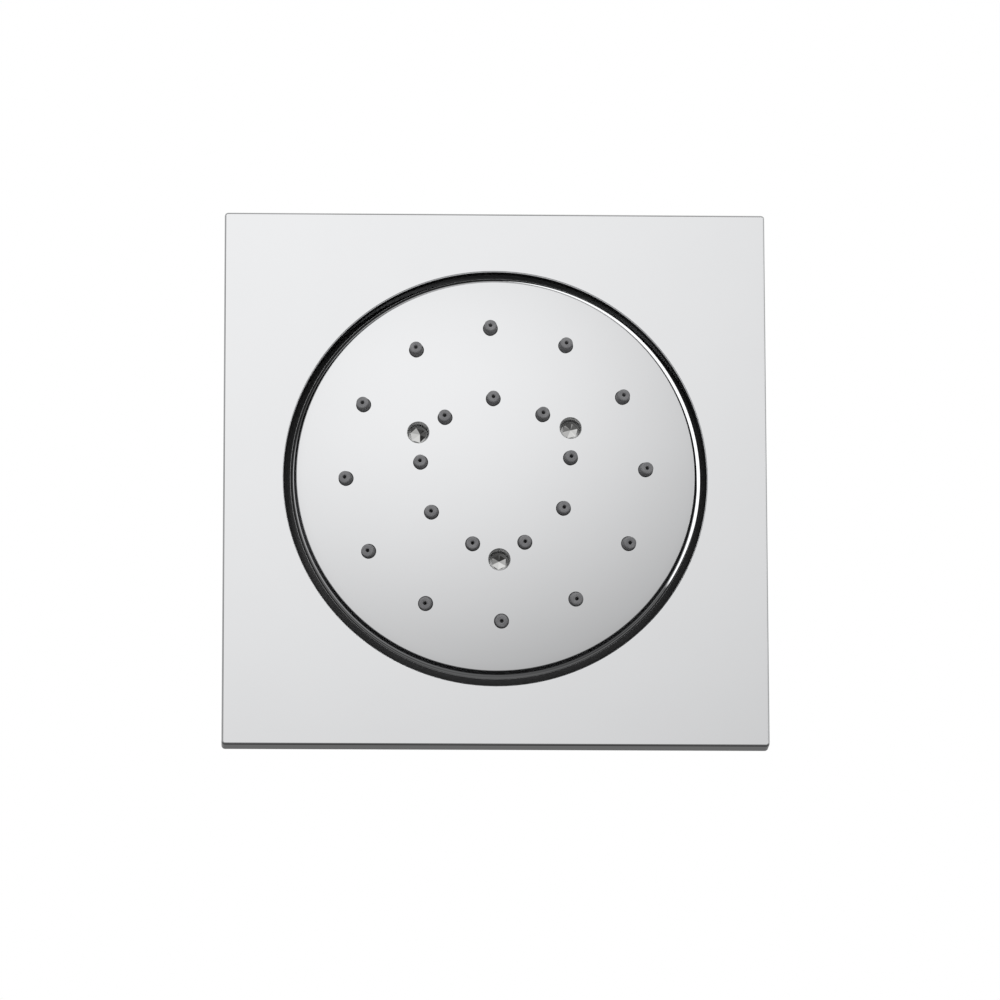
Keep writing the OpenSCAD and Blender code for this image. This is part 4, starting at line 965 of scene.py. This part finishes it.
# Light tent that only shiny surfaces see. It is laid out by the lean and the turn of a mirror that would show each
# direction: lean = angle between the half-way vector and the front, turn = that vector's way round the front. A soft
# panel fills the middle, bright above and left and falling off as low + high * exp(-(u / wide)^2 - (w / tall)^2),
# where (u, w) is the place on its plane. Round it stands a dark ring with a thin grey line and a curved strip light at
# the right, and outside it pale sides, brightest above. The rear is pale too.
def makeTent():
    s = studio
    m, t = material("tentLight")
    x, y, z = (c / s["tentRadius"] for c in t.split(t.add("TexCoord", {}, {}, out="Object", gives="vector")))
    ahead = (0.0 - y).atLeast(0.03)
    px, pz = x * s["tentRadius"] / ahead, z * s["tentRadius"] / ahead
    cos, sin = math.cos(s["panelTurn"]), math.sin(s["panelTurn"])
    dx, dz = px - s["panelX"], pz - s["panelZ"]
    u, w = (dx * cos + dz * sin) / s["panelWide"], (dz * cos - dx * sin) / s["panelTall"]
    panel = t.add("Math", {"operation": "EXPONENT"}, {0: 0.0 - (u * u + w * w)}) * s["panelHigh"] + s["panelLow"]
    hx, hy, hz = (c - float(v) for c, v in zip((x, y, z), viewDirection()))
    across = ((hx * hx + hz * hz) ** 0.5).atLeast(0.0001)
    lean = t.add("Math", {"operation": "ARCTAN2"}, {0: across, 1: 0.0 - hy}) * (180 / math.pi)
    turn = t.add("Math", {"operation": "ARCTAN2"}, {0: hz, 1: hx}) * (180 / math.pi)
    right, left = (hx / across).atLeast(0.0), (0.0 - hx / across).atLeast(0.0)
    over, under = (hz / across).atLeast(0.0), (0.0 - hz / across).atLeast(0.0)
    line = abs(lean - s["lineLean"] - under * s["lineDrop"]).over(s["lineReach"] + 0.4, s["lineReach"] - 0.4, 0.0,
                                                                  s["lineLevel"])
    low = abs(lean - s["stripLean"]).over(s["lowReach"] + 1, s["lowReach"] - 1, 0.0, s["lowLevel"]) * under ** 6.0
    taper = turn.over(s["stripNarrow"], s["stripLast"], 1.0, 0.0, smooth=False).atLeast(0.02)
    taper = taper * turn.over(s["stripFirst"], s["stripFull"], 0.35, 1.0)
    strip = (abs(lean - s["stripLean"]) / (taper * s["stripReach"])).over(1.15, 0.85, 0.0, s["stripLevel"])
    strip = strip * turn.over(s["stripFirst"] - 2, s["stripFirst"] + 2) * (turn < s["stripLast"])
    ring = line.atLeast(low).atLeast(strip).atLeast(s["ring"])
    sides = over * over * s["outerTop"] + right * right * s["outerRight"] + left * left * s["outerLeft"] + s["outer"]
    rear = z.over(-0.75, 0.6, s["rearLow"], s["rearHigh"])
    for (bx, by, bz), near, far, level in s["rearBoxes"]:
        rear = rear + (x * bx + y * by + z * bz).over(far, near, 0.0, level)
    sides = t.mixed(y.over(-0.1, 0.5), sides, rear)
    mid = z.over(-0.9, 0.5, s["midLow"], s["midHigh"]) - x * s["midTilt"]
    outside = t.mixed(lean.over(*s["ringEnd"]), ring, t.mixed(lean.over(*s["midEnd"]), mid, sides))
    level = t.mixed(lean.over(*s["panelEnd"]), panel.atLeast(s["ring"]), outside)
    light = t.add("Emission", {}, {"Color": (1, 1, 1), "Strength": level})
    t.add("OutputMaterial", {}, {"Surface": light})
    m.cycles.emission_sampling = "NONE"
    rows = np.linspace(0, math.pi, 49)
    section = (np.stack([np.sin(rows), -np.cos(rows)], -1) * s["tentRadius"] * 1000,
               np.stack([-np.sin(rows), np.cos(rows)], -1))
    points, normals, faces = turned(section, 96)
    mesh = bpy.data.meshes.new("lightTent")
    mesh.from_pydata(toRow(points), [], faces.tolist())
    mesh.materials.append(m)
    tent = bpy.data.objects.new("lightTent", mesh)
    bpy.context.scene.collection.objects.link(tent)
    tent.visible_camera = tent.visible_diffuse = tent.visible_shadow = False
    tent.visible_transmission = tent.visible_volume_scatter = False


makeTent()


# World: white where it is looked at, and for the light on the part brighter above than below
def makeWorld():
    world = bpy.data.worlds.new("paleStudio")
    bpy.context.scene.world = world
    world.use_nodes = True
    t = Tree(world.node_tree)
    seen = t.add("LightPath", {}, {}, out="Is Camera Ray")
    glossy = t.add("LightPath", {}, {}, out="Is Glossy Ray")
    through = t.add("LightPath", {}, {}, out="Is Transmission Ray")
    direct = seen.atLeast(glossy).atLeast(through)
    x, y, z = t.split(t.add("TexCoord", {}, {}, out="Generated", gives="vector"))
    level = z.over(-0.5, 0.5, studio["worldDown"], studio["worldUp"])
    t.add("OutputWorld", {}, {"Surface": t.add("Background", {}, {
        "Color": (1, 1, 1), "Strength": direct * (1 - level) + level})})


makeWorld()


def makeLamp(name, place, target, size, power):
    data = bpy.data.lights.new(name, "AREA")
    data.shape, data.size, data.energy = "DISK", size, power
    lamp = bpy.data.objects.new(name, data)
    lamp.location = place
    lamp.rotation_mode = "QUATERNION"
    lamp.rotation_quaternion = (Vector(target) - Vector(place)).to_track_quat("-Z", "Y")
    lamp.visible_glossy = False
    bpy.context.scene.collection.objects.link(lamp)


makeLamp("keyLamp", (-0.7, -1.3, 1.1), (0, 0, 0), 0.8, 16.0)
makeLamp("fillLamp", (1.1, 0.9, 0.7), (0, 0.03, 0), 0.9, 10.0)
makeLamp("frontLamp", tuple(-1.5 * viewDirection()), (0, 0, 0), 0.16, 6.5)


# Floor: pale, far below the part, fading into the white background away from the part's shadow. To diffuse rays it is
# dark grey, which is painted shade for the undersides of the part.
def makeFloor():
    m, t = material("paleFloor")
    x, y, z = t.split(t.add("TexCoord", {}, {}, out="Object", gives="vector"))
    away = ((x * x + y * y) ** 0.5).over(0.8, 3.5)
    seen = t.add("LightPath", {}, {}, out="Is Camera Ray")
    speck = t.noise(t.placed(), 60.0, 3.0)
    bounce = t.add("LightPath", {}, {}, out="Is Diffuse Ray")
    pale = t.blend(speck, (0.86, 0.86, 0.86), (0.88, 0.88, 0.88))
    # Painted shade: diffuse rays see the floor as dark grey (0.22) instead of pale, so little light bounces up from
    # below and the undersides of the nozzles and other parts stay dark
    diffuse = t.add("BsdfDiffuse", {}, {"Color": t.blend(bounce, pale, (0.22, 0.22, 0.22))})
    white = t.add("Emission", {}, {"Color": (1, 1, 1), "Strength": 1.0})
    t.add("OutputMaterial", {}, {"Surface": t.add("MixShader", {}, {0: away * seen, 1: diffuse, 2: white})})
    section = (np.array([[0.0, 0.0], [200.0, 0.0], [1000.0, 0.0], [studio["floorRadius"] * 1000, 0.0]]), np.zeros((4, 2)))
    points, normals, faces = turned(section, 96)
    placed = np.stack([points[:, 0], points[:, 1], points[:, 2]], -1) * 0.001 + np.array([0, 0, studio["floorZ"]])
    mesh = bpy.data.meshes.new("paleFloor")
    mesh.from_pydata(placed, [], faces.tolist())
    mesh.materials.append(m)
    floor = bpy.data.objects.new("paleFloor", mesh)
    bpy.context.scene.collection.objects.link(floor)


makeFloor()

bpy.context.scene.view_settings.view_transform = "Standard"
print("camera and light made")
